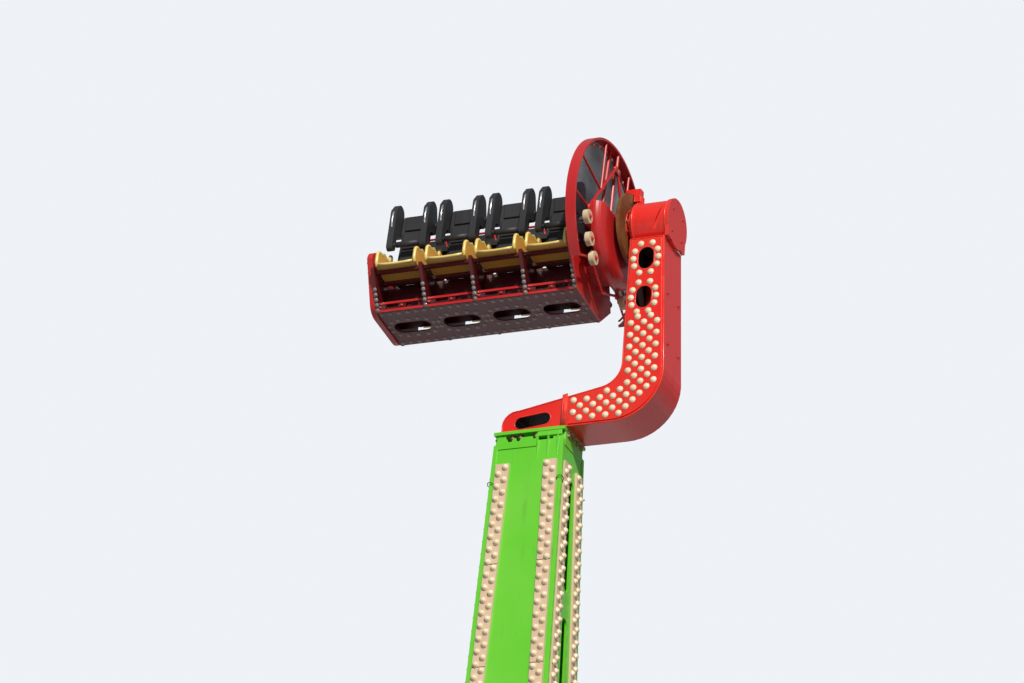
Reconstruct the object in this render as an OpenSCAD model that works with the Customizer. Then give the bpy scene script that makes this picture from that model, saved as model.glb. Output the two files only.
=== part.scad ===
/* [Ride] */
// Height of the arm's axis above the ground
hub_z = 14300; // [13900:50:15000]
// Distance of the arm's centre plane from the origin, to the free side
arm_offset = 1200; // [1150:10:1250]
// Arm axis to the end flange of each half arm
arm_r = 10000; // [9600:50:10100]
// End flange to the gondola's spindle axis
spindle_rise = 2380; // [2340:10:2420]
// Turn of the upper gondola on its spindle at rest, front row raised
upper_tilt = 6; // [0:1:15]

/* [Arm] */
// Width of the arm across the front, at its flange
arm_w = 760; // [700:10:780]
// Depth of the arm from front to back, at its flange
arm_d = 540; // [500:10:560]
// Growth of the width for each metre towards the hub
arm_taper_w = 45; // [30:1:50]
// Growth of the depth for each metre towards the hub
arm_taper_d = 77; // [60:1:80]
// Thickness of the arm's plates
arm_wall = 25; // [16:1:40]
// Width of a light strip
strip_w = 150; // [120:5:150]
// How far a light strip stands proud of the arm
strip_t = 25; // [15:1:30]
// Distance from a light strip to the arm's edge
strip_edge = 45; // [35:1:50]
// Width of the slots in the arm's sides
slot_w = 130; // [90:5:140]
// Length of each slot
slot_len = 1250; // [1000:10:1300]
// Distance from one slot to the next
slot_pitch = 1550; // [1500:10:1600]
// Thickness of the end flange
flange_t = 35; // [25:1:50]
// How far the end flange stands out past the arm
flange_lip = 22; // [15:1:30]
// Height of the recess under the flange that holds its bolts
flange_recess = 95; // [80:5:120]

/* [Yoke] */
// Depth of the yoke from front to back
yoke_d = 500; // [440:10:520]
// Thickness of the yoke's plates
yoke_wall = 20; // [12:1:30]
// Arm's centre line to the free end of the yoke's foot
foot_reach = 340; // [320:5:360]
// Height of the foot at its free end
foot_end_h = 210; // [190:5:230]
// Height of the foot where the inner bend starts
foot_bend_h = 420; // [400:5:440]
// Arm's centre line to the yoke's inner side
yoke_in_x = 980; // [970:5:1000]
// Arm's centre line to the yoke's outer side at the spindle
yoke_out_x = 1370; // [1350:5:1390]
// How much wider the yoke is at its outer bend
yoke_flare = 90; // [70:5:100]
// Radius of the outer bend
outer_bend_r = 560; // [500:10:600]
// Radius of the inner bend
inner_bend_r = 260; // [220:10:300]
// Thickness of the light panels on the yoke
panel_t = 14; // [10:1:20]
// Margin between a light panel and the yoke's edge
panel_edge = 28; // [20:1:40]
// Width of the round openings in the upright
port_w = 200; // [180:5:210]
// Height of the round openings in the upright
port_h = 280; // [250:5:300]
// Height of the lower opening's centre above the flange
port_low_z = 1420; // [1380:10:1440]
// Height of the upper opening's centre above the flange
port_high_z = 1880; // [1840:10:1890]
// Radius of the spindle housing
drum_r = 265; // [240:5:270]

/* [Spindle] */
// Radius of the spindle
spindle_rad = 140; // [120:5:150]
// Running clearance of each spindle and of the arm's shaft
fit_gap = 0.08; // [0.05:0.01:0.1]
// Radius of the brake disc
disc_r = 400; // [380:5:420]
// Thickness of the brake disc
disc_t = 40; // [30:1:50]

/* [Gondola] */
// Distance from one seat to the next
seat_pitch = 580; // [570:1:590]
// Arm's centre line to the hull's end beside the spindle
hull_end_x = 480; // [470:1:485]
// Depth of the seat pan below the spindle axis
pan_z = 450; // [430:5:470]
// Width of one seat bucket
bucket_w = 470; // [440:5:490]
// Front edge of the seat buckets from the gondola's middle
bucket_front = 640; // [600:5:660]
// Underside of the hull below the spindle axis
hull_drop = 900; // [880:5:920]
// Half the width of the hull's underside
keel_half = 330; // [300:5:350]
// Half the width of the hull beneath the seats
chine_half = 560; // [540:5:580]
// Length of the large openings in the underside
bay_hole_l = 430; // [380:5:450]
// Width of the large openings in the underside
bay_hole_w = 200; // [160:5:220]
// Height of the restraints' tops above the spindle axis
ear_top = 450; // [430:5:470]
// Height of the restraints' hinge above the spindle axis
hinge_z = 215; // [205:5:230]
// Distance of the restraints' hinge from the gondola's middle
hinge_y = 235; // [230:5:250]

/* [Wheel] */
// Outer radius of the end wheel
wheel_r = 1030; // [1000:10:1050]
// Width of the end wheel's rim
rim_w = 110; // [90:5:110]
// Thickness of the end wheel's rim
rim_t = 26; // [18:1:30]
// Radius of the end wheel's main tubes
tube_r = 19; // [16:1:22]
// Radius of the rollers on the end wheel
roller_r = 76; // [65:1:80]
// Radius of the end casing
casing_r = 630; // [600:10:650]

/* [Base] */
// Length of the base frame across the arm's plane
base_x = 8400; // [8200:50:8600]
// Length of the base frame along the arm's plane
base_y = 9000; // [8800:50:9400]
// Height of the base frame's beams
beam_h = 380; // [340:10:400]
// Width of the base frame's beams
beam_w = 300; // [260:10:320]
// Height of the beams' underside above the ground
beam_lift = 120; // [100:5:140]
// Radius of a foot
foot_r = 260; // [220:10:280]
// Width of the mast across the arm's plane, at its foot
mast_w = 1250; // [1200:10:1300]
// Depth of the mast at its foot
mast_d = 1500; // [1400:10:1600]
// Radius of the main bearing housing
housing_r = 600; // [560:10:620]
// Radius of the arm's shaft
shaft_r = 250; // [220:5:260]

/* [Hidden] */
$fn = 48;

green = [0.30, 0.78, 0.12];
red = [0.82, 0.06, 0.05];
crimson = [0.60, 0.02, 0.08];
cream = [0.90, 0.80, 0.66];
black = [0.06, 0.06, 0.08];
amber = [0.90, 0.66, 0.15];
steel = [0.55, 0.56, 0.58];
rust = [0.50, 0.26, 0.10];

eps = 1;
far = 4000;
seat_gap = 0.3;
metre = 1000;
spindle_r = arm_r + spindle_rise;

// Places along the spindle, from the arm's centre line
wheel_x = hull_end_x + 60;
casing_x = wheel_x + rim_w + 12;
casing_t = 140;
disc_x = yoke_in_x - 120;
neck_x = disc_x + disc_t + 30;
neck_r = 205;
bore_end_x = yoke_in_x + 300;

// Seats in each row, the first seat's centre and the hull's free end
seats = 4;
seat_x0 = hull_end_x - seat_pitch / 2;
hull_x0 = hull_end_x - seats * seat_pitch;
end_shell_t = 60;

// Seat back's width and thickness
back_w = 300;
back_t = 55;

// Half sizes of the arm at a distance from its axis
function arm_half_w(r) = (arm_w + (arm_r - r) * arm_taper_w / metre) / 2;
function arm_half_d(r) = (arm_d + (arm_r - r) * arm_taper_d / metre) / 2;
arm_root = 720;
hub_w = 2 * arm_half_w(arm_root) + 20;
hub_d = 2 * arm_half_d(arm_root) + 20;
hub_cheek = 40;

// Points of an arc around c, from angle a0 to a1
function arc(c, r, a0, a1, n) = [for (i = [0:n]) let (a = a0 + (a1 - a0) * i / n)
    [c[0] + r * cos(a), c[1] + r * sin(a)]];

// Turns an outline drawn as (y, z) into a plate that is t thick along X, from x
module plate_x(x, t) translate([x, 0, 0]) rotate([90, 0, 90]) linear_extrude(height = t) children();

// Turns an outline drawn as (x, z) into a plate that is t thick along Y, from y back to front
module plate_y(y, t) translate([0, y + t, 0]) rotate([90, 0, 0]) linear_extrude(height = t) children();

// A straight bar with few sides from p to q
module bar(p, q, r, sides = 8) {
    v = q - p;
    translate(p) rotate([0, acos(v[2] / norm(v)), atan2(v[1], v[0])])
        cylinder(h = norm(v), r = r, $fn = sides);
}

// A cylinder along X
module rod_x(x, len, r) translate([x, 0, 0]) rotate([0, 90, 0]) cylinder(h = len, r = r);

// An upright slot with round ends, centred, cut along X
module slot_x(len, w, depth) {
    for (s = [-1, 1]) translate([0, 0, s * (len - w) / 2]) rotate([0, 90, 0])
        cylinder(h = depth, d = w, center = true);
    cube([depth, w, len - w], center = true);
}

// The frames of the arm, of its two ends and of the two gondolas
module in_hub() translate([-arm_offset, 0, hub_z]) children();
module in_end(up) in_hub() rotate([up > 0 ? 0 : 180, 0, 0]) children();
module in_flange(up) in_end(up) translate([0, 0, arm_r]) children();
module in_gondola(up) in_hub() translate([0, 0, up * spindle_r])
    rotate([up > 0 ? -upper_tilt : 0, 0, 0]) children();

// The arm's tapered form between two distances from its axis, grown by g
module arm_form(r0, r1, g) intersection() {
    plate_y(-far, 2 * far) polygon([[-arm_half_w(r0) - g, r0], [arm_half_w(r0) + g, r0],
        [arm_half_w(r1) + g, r1], [-arm_half_w(r1) - g, r1]]);
    plate_x(-far, 2 * far) polygon([[-arm_half_d(r0) - g, r0], [arm_half_d(r0) + g, r0],
        [arm_half_d(r1) + g, r1], [-arm_half_d(r1) - g, r1]]);
}

// Half arm: tapered box with slots in its sides, end flange, bolt recess and gussets
body_top = arm_r - flange_t;
slot_top = arm_r - 520;
module half_arm(up) color(green) in_end(up) {
    difference() {
        arm_form(arm_root, body_top - flange_recess, 0);
        arm_form(arm_root - eps, body_top - flange_recess - arm_wall, -arm_wall);
        for (z = [slot_top - slot_len / 2:-slot_pitch:arm_root + slot_len])
            translate([0, 0, z]) slot_x(slot_len, slot_w, far);
    }
    intersection() {
        arm_form(body_top - flange_recess - eps, body_top, 0);
        union() {
            for (s = [-1, 1]) translate([s * (arm_w / 2 - 60), 0, arm_r - 100])
                cube([100, arm_d, 300], center = true);
            translate([70, -arm_d / 2, arm_r - 250]) cube([40, arm_d, 250]);
            translate([-arm_w / 2, -90, arm_r - 250]) cube([arm_w, 180, 250]);
        }
    }
    translate([-arm_w / 2 - flange_lip, -arm_d / 2 - flange_lip, body_top])
        cube([arm_w + 2 * flange_lip, arm_d + 2 * flange_lip, flange_t]);
    edge_angles();
}

// Angle sections that cover the arm's long corners
angle_t = 12;
angle_leg = 28;
module edge_angles() intersection() {
    difference() {
        arm_form(arm_root, body_top - flange_recess - 20, angle_t);
        arm_form(arm_root - eps, arm_r, -eps);
    }
    union() for (s = [-1, 1]) plate_x(-far, 2 * far)
        angle_side(s, arm_half_d(arm_root) - angle_leg, arm_half_d(arm_r) - angle_leg);
    union() for (s = [-1, 1]) plate_y(-far, 2 * far)
        angle_side(s, arm_half_w(arm_root) - angle_leg, arm_half_w(arm_r) - angle_leg);
}

// Everything past the line from lo at the arm's root to hi at its end, on side s
module angle_side(s, lo, hi)
    polygon([[s * lo, arm_root], [s * hi, arm_r], [s * far, arm_r], [s * far, arm_root]]);

// Light strips: two on each face, following the taper
module light_strips(up) color(cream) in_end(up) difference() {
    intersection() {
        arm_form(arm_root + 300, arm_r - 380, strip_t);
        union() for (s = [-1, 1]) {
            plate_y(-far, 2 * far) strip_outline(s, true);
            plate_x(-far, 2 * far) strip_outline(s, false);
        }
    }
    arm_form(arm_root, arm_r, 0);
}

// One strip's outline on the front face, or on a side face
module strip_outline(s, front) {
    lo = arm_root;
    edge_lo = (front ? arm_half_w(lo) : arm_half_d(lo)) - strip_edge;
    edge_hi = (front ? arm_half_w(arm_r) : arm_half_d(arm_r)) - strip_edge;
    polygon([[s * edge_lo, lo], [s * (edge_lo - strip_w), lo],
        [s * (edge_hi - strip_w), arm_r], [s * edge_hi, arm_r]]);
}

// Central hub of the arm, with the shaft that the mast's bearing carries
shaft_len = 2660;
module arm_hub() color(green) in_hub() {
    difference() {
        translate([-hub_w / 2, -hub_d / 2, -arm_root]) cube([hub_w, hub_d, 2 * arm_root]);
        for (s = [-1, 1], t = [-1, 1]) translate([0, s * hub_d / 2, t * arm_root])
            rotate([45, 0, 0]) cube([hub_w + eps, 60, 60], center = true);
    }
    for (s = [-1, 1]) rod_x(s > 0 ? hub_w / 2 - eps : -hub_w / 2 - hub_cheek, hub_cheek + eps, 560);
    rod_x(hub_w / 2, shaft_len, shaft_r);
}

// The yoke's outline, drawn as (x, z), inset by t
yoke_top = spindle_rise - drum_r + 20;
function yoke_outline(t) = concat(
    [[-foot_reach + t, t]],
    arc([yoke_out_x + yoke_flare - outer_bend_r, outer_bend_r], outer_bend_r - t, -90, 0, 12),
    [[yoke_out_x - t, yoke_top - t], [yoke_in_x + t, yoke_top - t]],
    arc([yoke_in_x - inner_bend_r, foot_bend_h + inner_bend_r], inner_bend_r + t, 0, -78, 8),
    [[-foot_reach + 190, foot_end_h + 40 - t]],
    arc([-foot_reach + 170, foot_end_h - 130], 170 - t, 90, 180, 5));

// Openings through the front and the back of the yoke
foot_hole_x = 10;
foot_hole_z = 112;
foot_hole_l = 410;
foot_hole_h = 145;
foot_hole_tilt = 6;
module foot_hole() translate([foot_hole_x, 0, foot_hole_z]) rotate([0, -foot_hole_tilt, 0]) {
    for (s = [-1, 1]) translate([s * (foot_hole_l - foot_hole_h) / 2, 0, 0]) rotate([90, 0, 0])
        cylinder(h = far, d = foot_hole_h, center = true);
    cube([foot_hole_l - foot_hole_h, far, foot_hole_h], center = true);
}
port_x = (yoke_in_x + yoke_out_x) / 2 + 5;
module ports(g) for (z = [port_low_z, port_high_z]) translate([port_x, 0, z]) {
    for (s = [-1, 1]) translate([0, 0, s * (port_h - port_w) / 2]) rotate([90, 0, 0])
        cylinder(h = far, d = port_w + 2 * g, center = true);
    cube([port_w + 2 * g, far, port_h - port_w], center = true);
}

// Yoke: hollow box that bends from the flange up to the spindle housing
module yoke(up) color(red) in_flange(up) difference() {
    plate_y(-yoke_d / 2, yoke_d) polygon(yoke_outline(0));
    plate_y(-yoke_d / 2 + yoke_wall, yoke_d - 2 * yoke_wall) polygon(yoke_outline(yoke_wall));
    foot_hole();
    ports(0);
}

// Light panels on the front and the back of the yoke, from the foot's seam upwards
panel_x0 = 420;
port_lip = 12;
module yoke_panels(up) color(red) in_flange(up) for (s = [-1, 1]) difference() {
    plate_y(s > 0 ? yoke_d / 2 : -yoke_d / 2 - panel_t, panel_t) intersection() {
        polygon(yoke_outline(panel_edge));
        translate([panel_x0, 0]) square([far, far]);
    }
    ports(-port_lip);
}

// Housing on the yoke's top that holds the spindle, with its round outer skin
skin_r = yoke_d / 2 + 30;
skin_x = yoke_out_x + 3;
skin_t = 37;
module spindle_housing(up) color(red) in_flange(up) difference() {
    union() {
        intersection() {
            translate([0, 0, spindle_rise]) rod_x(yoke_in_x, skin_x - yoke_in_x, drum_r);
            translate([0, -far, yoke_top]) cube([far, 2 * far, far]);
        }
        translate([0, 0, spindle_rise]) rod_x(neck_x, yoke_in_x - neck_x, neck_r);
        translate([0, 0, spindle_rise]) rod_x(neck_x + 30, 24, neck_r + 40);
        translate([0, 0, spindle_rise]) rod_x(skin_x, skin_t, skin_r);
        head_cheek();
        translate([0, 0, spindle_rise]) caliper();
    }
    translate([0, 0, spindle_rise]) rod_x(neck_x - eps, bore_end_x - neck_x + eps, spindle_rad + fit_gap);
    translate([yoke_out_x - 80, 0, spindle_rise]) rotate([0, 20, 0]) translate([-14, -far, -drum_r])
        cube([28, far - drum_r + 40, 2 * drum_r - 30]);
}

// Brake caliper over the disc's edge, on a bracket from the housing
caliper_w = 90;
caliper_gap = 8;
module caliper() difference() {
    union() {
        translate([disc_x - 45, -caliper_w / 2, disc_r - 80]) cube([yoke_in_x - disc_x + 45, caliper_w, 150]);
        translate([neck_x + 10, -caliper_w / 3, neck_r - 20]) cube([60, caliper_w * 2 / 3, disc_r - neck_r]);
    }
    rod_x(disc_x - caliper_gap, disc_t + 2 * caliper_gap, disc_r + caliper_gap);
}

// Outer skin below the round head, down to the yoke's top
module head_cheek() translate([skin_x, -yoke_d / 2, yoke_top])
    cube([skin_t, yoke_d, spindle_rise - yoke_top]);

// Hull under the seats: spine, underside with its openings, side bars and cross ribs
rib_t = 36;
spine_half = hinge_y - 24;
module rib_outline() polygon([[-keel_half, -hull_drop], [keel_half, -hull_drop],
    [chine_half - 60, -hull_drop + 230], [chine_half + 60, -pan_z - 75], [chine_half + 60, -pan_z - 45],
    [-chine_half - 60, -pan_z - 45], [-chine_half - 60, -pan_z - 75], [-chine_half + 60, -hull_drop + 230]]);
// Underside of the seat pans at a distance from the gondola's middle
pan_back = hinge_y + back_t + seat_gap;
function pan_low(y) = -pan_z - pan_t - 30 * (bucket_front - 60 - y) / (bucket_front - 60 - pan_back);
rail_in_y = pan_back + 45;
rail_out_y = bucket_front - 110;
rail_w = 40;
rail_h = 36;
keel_h = 130;
keel_t = 16;
module hull(up) color(crimson) in_gondola(up) {
    translate([hull_x0, -spine_half, -hull_drop + keel_h - eps])
        cube([hull_end_x - hull_x0, 2 * spine_half, hull_drop - keel_h - pan_z - 45]);
    difference() {
        translate([hull_x0, -keel_half, -hull_drop]) cube([hull_end_x - hull_x0, 2 * keel_half, keel_h]);
        translate([hull_x0 + rib_t, -keel_half + 40, -hull_drop + keel_t])
            cube([hull_end_x - hull_x0 - 2 * rib_t, 2 * keel_half - 80, keel_h]);
        for (i = [0:seats - 1]) translate([seat_x0 - i * seat_pitch, 0, -hull_drop]) bay_holes();
    }
    for (i = [0:seats]) translate([i == 0 ? -rib_t : i == seats ? 0 : -rib_t / 2, 0, 0])
        plate_x(hull_end_x - i * seat_pitch, rib_t) rib_outline();
    for (s = [-1, 1], y = [rail_in_y, rail_out_y])
        translate([hull_x0, s * y - rail_w / 2, pan_low(y - rail_w / 2) - rail_h - seat_gap])
            cube([hull_end_x - hull_x0, rail_w, rail_h]);
}

// Openings of one bay: the large one in the underside, and two in each side bar
module bay_holes() {
    for (s = [-1, 1]) translate([s * (bay_hole_l - bay_hole_w) / 2, 0, -eps])
        cylinder(h = keel_t + 2 * eps, d = bay_hole_w);
    translate([0, 0, keel_t / 2]) cube([bay_hole_l - bay_hole_w, bay_hole_w, keel_t + 2 * eps], center = true);
    for (s = [-1, 1]) translate([s * seat_pitch / 5, 0, keel_h / 2 + 8])
        cube([seat_pitch / 4, far, 46], center = true);
}

// Rounded shell that closes the hull's free end
shell_top = 250;
module end_shell(up) color(red) in_gondola(up) difference() {
    plate_x(hull_x0 - end_shell_t, end_shell_t) polygon(concat(
        arc([chine_half - 60, -shell_top - 120], 120, 90, 0, 6),
        arc([keel_half - 90, -hull_drop + 160], 180, -25, -90, 6),
        arc([90 - keel_half, -hull_drop + 160], 180, -90, -155, 6),
        arc([60 - chine_half, -shell_top - 120], 120, 180, 90, 6)));
    plate_x(hull_x0 - 20, end_shell_t) polygon([[-keel_half, -hull_drop + 90], [keel_half, -hull_drop + 90],
        [chine_half - 60, -shell_top - 60], [60 - chine_half, -shell_top - 60]]);
}

// End casing: bulkhead beside the hull, boss round the spindle, and half-round cover beyond the wheel
boss_r = 200;
casing_fillet = 110;
module casing_block(g) translate([hull_end_x, -boss_r - g, -casing_r + 90 - g])
    cube([casing_x - hull_end_x + eps, 2 * boss_r + 2 * g, 220 + 2 * g]);
module end_casing(up) color(red) in_gondola(up) {
    plate_x(hull_end_x, 20) {
        polygon([[-keel_half, -hull_drop], [keel_half, -hull_drop], [chine_half, -hull_drop + 250],
            [boss_r + 60, 100], [-boss_r - 60, 100], [-chine_half, -hull_drop + 250]]);
        translate([0, 60]) circle(r = boss_r + 60);
    }
    rod_x(hull_end_x, casing_x - hull_end_x + eps, boss_r);
    casing_block(0);
    translate([casing_x, 0, 0]) rotate([0, 90, 0]) rotate([0, 0, -90]) rotate_extrude(angle = 180)
        polygon(concat([[0, 0], [casing_r, 0]],
            arc([casing_r - casing_fillet, casing_t - casing_fillet], casing_fillet, 0, 90, 6),
            [[0, casing_t]]));
    rod_x(casing_x, casing_t, boss_r);
}

// Seat buckets of both rows: pan, raised sides with a rounded lip, and moulded front
wing_t = 28;
pan_t = 40;
module bucket() {
    plate_x(-bucket_w / 2 + wing_t - eps, bucket_w - 2 * wing_t + 2 * eps) polygon([
        [-bucket_front + 40, -pan_z], [-pan_back, -pan_z - 30], [-pan_back, pan_low(pan_back)],
        [-bucket_front + 60, pan_low(bucket_front - 60)], [-bucket_front + 20, -pan_z - 30]]);
    for (x = [-bucket_w / 2, bucket_w / 2 - wing_t]) plate_x(x, wing_t) polygon(concat(
        arc([-pan_back - 35, -210], 35, 0, 110, 5),
        arc([-bucket_front + 250, -90], 190, -75, -120, 5),
        arc([-bucket_front + 62, -pan_z + 95], 62, 60, 180, 6),
        arc([-bucket_front + 60, -pan_z + 20], 60, 180, 270, 5),
        [[-pan_back, pan_low(pan_back)]]));
}
module each_seat() for (i = [0:seats - 1]) translate([seat_x0 - i * seat_pitch, 0, 0]) children();
module both_rows() {
    children();
    mirror([0, 1, 0]) children();
}
module seat_shells(up) color(amber) in_gondola(up) both_rows() each_seat() bucket();

// Seat backs with headrest, from the pan up to the restraint's hinge
module seat_back() {
    plate_x(-back_w / 2, back_w) polygon([[-hinge_y + 25, foot_z], [-hinge_y - back_t, foot_z],
        [-hinge_y - back_t - 5, -200], [-hinge_y - back_t + 15, 40], [-hinge_y - back_t - 5, 120],
        [-hinge_y - back_t + 5, 330], [-hinge_y - back_t + 30, 365], [-hinge_y + 10, 350],
        [-hinge_y + 25, hinge_z + 60]]);
}

// Posts behind the backs, the rail that joins them, and the brackets of the hinge rod
post_d = 50;
hinge_r = 28;
hinge_rod_r = 20;
bracket_t = 40;
foot_z = -pan_z - 45 + seat_gap;
module seat_backs(up) color(black) in_gondola(up) both_rows() difference() {
    union() {
        each_seat() {
            seat_back();
            for (s = [-1, 1]) translate([s * back_w / 3 - 20, -hinge_y + 24, foot_z])
                cube([40, post_d, hinge_z - foot_z]);
        }
        translate([hull_x0 + 10, -hinge_y + 44, hinge_z - 60])
            cube([hull_end_x - hull_x0 - 20, post_d - 20, 60]);
        hinge_brackets();
    }
    each_seat() translate([0, -hinge_y, hinge_z]) rod_x(-bucket_w / 2, bucket_w, hinge_r + 12);
    translate([0, -hinge_y, hinge_z]) rod_x(hull_x0, hull_end_x - hull_x0, hinge_rod_r + fit_gap);
}
module hinge_brackets() for (i = [0:seats]) translate([hull_end_x - i * seat_pitch
        - (i == 0 ? bracket_t + 10 : i == seats ? -10 : bracket_t / 2), 0, 0]) {
    translate([0, -hinge_y, hinge_z]) rod_x(0, bracket_t, hinge_rod_r + 16);
    translate([0, -hinge_y, hinge_z - hinge_rod_r - 16]) cube([bracket_t, 60, 2 * hinge_rod_r + 32]);
}

// Over-shoulder restraints of one row: side fins, lap bar and hinge sleeves
fin_t = 70;
fin_x = 195;
fin_front = 225;
module restraint() {
    for (s = [-1, 1]) plate_x(s * fin_x - fin_t / 2, fin_t) polygon(concat(
        [[hinge_r, 0]],
        arc([-fin_front + 110, ear_top - hinge_z - 85], 85, 25, 120, 7),
        arc([-fin_front + 60, ear_top - hinge_z - 130], 60, 150, 180, 3),
        arc([-fin_front + 45, -330], 45, 180, 360, 8),
        arc([-fin_front + 160, -200], 70, 180, 90, 5),
        [[0, -hinge_r - 90]]));
    translate([0, -fin_front + 45, -310]) rod_x(-fin_x, 2 * fin_x, 24);
    rod_x(-fin_x, 2 * fin_x, hinge_r);
}
module restraints(up, side) color(black) in_gondola(up) mirror([0, side, 0])
    translate([0, -hinge_y, hinge_z]) {
        each_seat() restraint();
        rod_x(hull_x0 + 10, hull_end_x - hull_x0 - 20, hinge_rod_r);
    }

// End wheel: rim that is open at the bottom, braces and hanging V frame
wheel_open = 46;
roller_ring = 760;
roller_angles = [20, 38, 54];
tube_inset = 4;
// Tubes in the wheel's outer plane as [y, z] from, [y, z] to and thickness, with their mirror images
wheel_tubes = [
    [[30, 815], [610, -76], 1], [[612, -50], [262, -388], 0.93],
    [[600, -62], [wheel_r - 20, -80], 0.7], [[350, 330], [930, 420], 0.7], [[340, 335], [340, 955], 0.75],
    [[503, 95], [172, -391], 0.8], [[264, -371], [396, -569], 0.86],
    [[398, -556], [-9, -765], 0.8], [[382, -556], [712, -722], 0.74]];
module end_wheel(up) color(red) in_gondola(up) difference() {
    wheel_parts();
    rod_x(hull_end_x, far, boss_r + seat_gap);
    casing_block(seat_gap);
}
module wheel_parts() {
    x = wheel_x + tube_r + tube_inset;
    x2 = wheel_x + rim_w - tube_r - tube_inset;
    translate([wheel_x, 0, 0]) rotate([0, 90, 0]) rotate([0, 0, 90 - wheel_open])
        rotate_extrude(angle = 180 + 2 * wheel_open, $fn = 160)
            translate([wheel_r - rim_t, 0]) square([rim_t, rim_w]);
    for (s = [-1, 1]) {
        bar([x, s * 90, wheel_r - 20], [x, s * 130, 0], tube_r);
        for (t = wheel_tubes) bar([x2, s * t[0][0], t[0][1]], [x2, s * t[1][0], t[1][1]], tube_r * t[2]);
    }
    for (s = [-1, 1], a = roller_angles) {
        c = [x2, s * roller_ring * cos(a), -roller_ring * sin(a)];
        bar([x2, s * (440 - 2.2 * a), -200 - 2.6 * a], c, tube_r * 0.66);
        translate([0, c[1], c[2]]) rod_x(x2, wheel_x + rim_w + 5 - x2 - seat_gap, 14);
    }
    bar([x2, -280, -382], [x2, 280, -382], tube_r * 0.97);
    bar([x2, -60, 800], [x2, 60, 800], tube_r * 0.9);
    bar([x2, 0, 795], [x2, 0, wheel_r - 15], tube_r * 0.95);
}

// Dark net panel inside the wheel's inner side
module wheel_net(up) color(black) in_gondola(up) difference() {
    rod_x(wheel_x - 5, 4.7, wheel_r - 8);
    rod_x(wheel_x - far, far, boss_r + 12);
    casing_block(12);
    translate([0, -far, -far - 420]) cube([far, 2 * far, far]);
}

// Rollers on the lower front and back of the wheel
module rollers(up) color(cream) in_gondola(up) for (s = [-1, 1], a = roller_angles)
    translate([0, -s * roller_ring * cos(a), -roller_ring * sin(a)]) rod_x(wheel_x + rim_w + 5, 56, roller_r);

// Spindle with its brake disc
module spindle(up) color(rust) in_gondola(up) {
    rod_x(casing_x + casing_t, bore_end_x - 10 - casing_x - casing_t, spindle_rad);
    rod_x(disc_x, disc_t, disc_r);
    rod_x(casing_x + casing_t, disc_x - casing_x - casing_t, boss_r);
}

// Base: two double beams that cross below the mast, with plates at their ends
mast_x = 1300;
beam_top = beam_lift + beam_h;
module i_beam(len) translate([-len / 2, 0, beam_lift]) difference() {
    translate([0, -beam_w / 2, 0]) cube([len, beam_w, beam_h]);
    for (s = [-1, 1]) translate([20, s > 0 ? 10 : -beam_w, 20]) cube([len - 40, beam_w - 10, beam_h - 40]);
}
beam_gap_x = 1100;
beam_gap_y = 1000;
module base_frame() color(steel) {
    for (s = [-1, 1]) translate([0, s * beam_gap_x / 2, 0]) i_beam(base_x);
    for (s = [-1, 1]) translate([mast_x + s * beam_gap_y / 2, 0, 0]) rotate([0, 0, 90]) i_beam(base_y);
    for (x = [-base_x / 2 + beam_w / 2, -base_x / 4, base_x / 2 - beam_w / 2]) translate([x, 0, 0])
        rotate([0, 0, 90]) i_beam(beam_gap_x);
    for (s = [-1, 1], y = [base_y / 2 - beam_w / 2, base_y / 4]) translate([mast_x, s * y, 0])
        i_beam(beam_gap_y);
    translate([mast_x - mast_w / 2, -mast_d / 2, beam_lift]) cube([mast_w, mast_d, beam_h]);
}

// Levelling feet under the beams
foot_plate_t = 30;
screw_r = 60;
module foot() {
    cylinder(h = foot_plate_t, r = foot_r);
    cylinder(h = beam_lift, r = screw_r);
}
module base_feet() color(steel) {
    for (s = [-1, 1], x = [-base_x / 2 + foot_r + 20, -base_x / 4, base_x / 2 - foot_r - 20])
        translate([x, s * beam_gap_x / 2, 0]) foot();
    for (s = [-1, 1], t = [-1, 1]) translate([mast_x + s * beam_gap_y / 2, t * (base_y / 2 - foot_r - 20), 0])
        foot();
}

// Mast: hollow tapered column whose head holds the bearing housing
mast_top_w = 900;
mast_top_d = 1400;
mast_wall = 40;
head_low = hub_z - housing_r - 250;
head_high = hub_z + housing_r + 160;
module mast_form(z0, z1, g) intersection() {
    plate_y(-far, 2 * far) polygon([[-mast_w / 2 + g, z0], [mast_w / 2 - g, z0],
        [mast_top_w / 2 - g, z1], [-mast_top_w / 2 + g, z1]]);
    plate_x(-far, 2 * far) polygon([[-mast_d / 2 + g, z0], [mast_d / 2 - g, z0],
        [mast_top_d / 2 - g, z1], [-mast_top_d / 2 + g, z1]]);
}
module mast() color(green) translate([mast_x, 0, 0]) difference() {
    mast_form(beam_top, head_high, 0);
    mast_form(beam_top + mast_wall, head_low, mast_wall);
    translate([0, 0, hub_z]) rod_x(-far, 2 * far, housing_r);
    for (s = [-1, 1]) translate([0, s * mast_top_d / 2, head_high])
        rotate([45, 0, 0]) cube([far, 200, 200], center = true);
}

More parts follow.
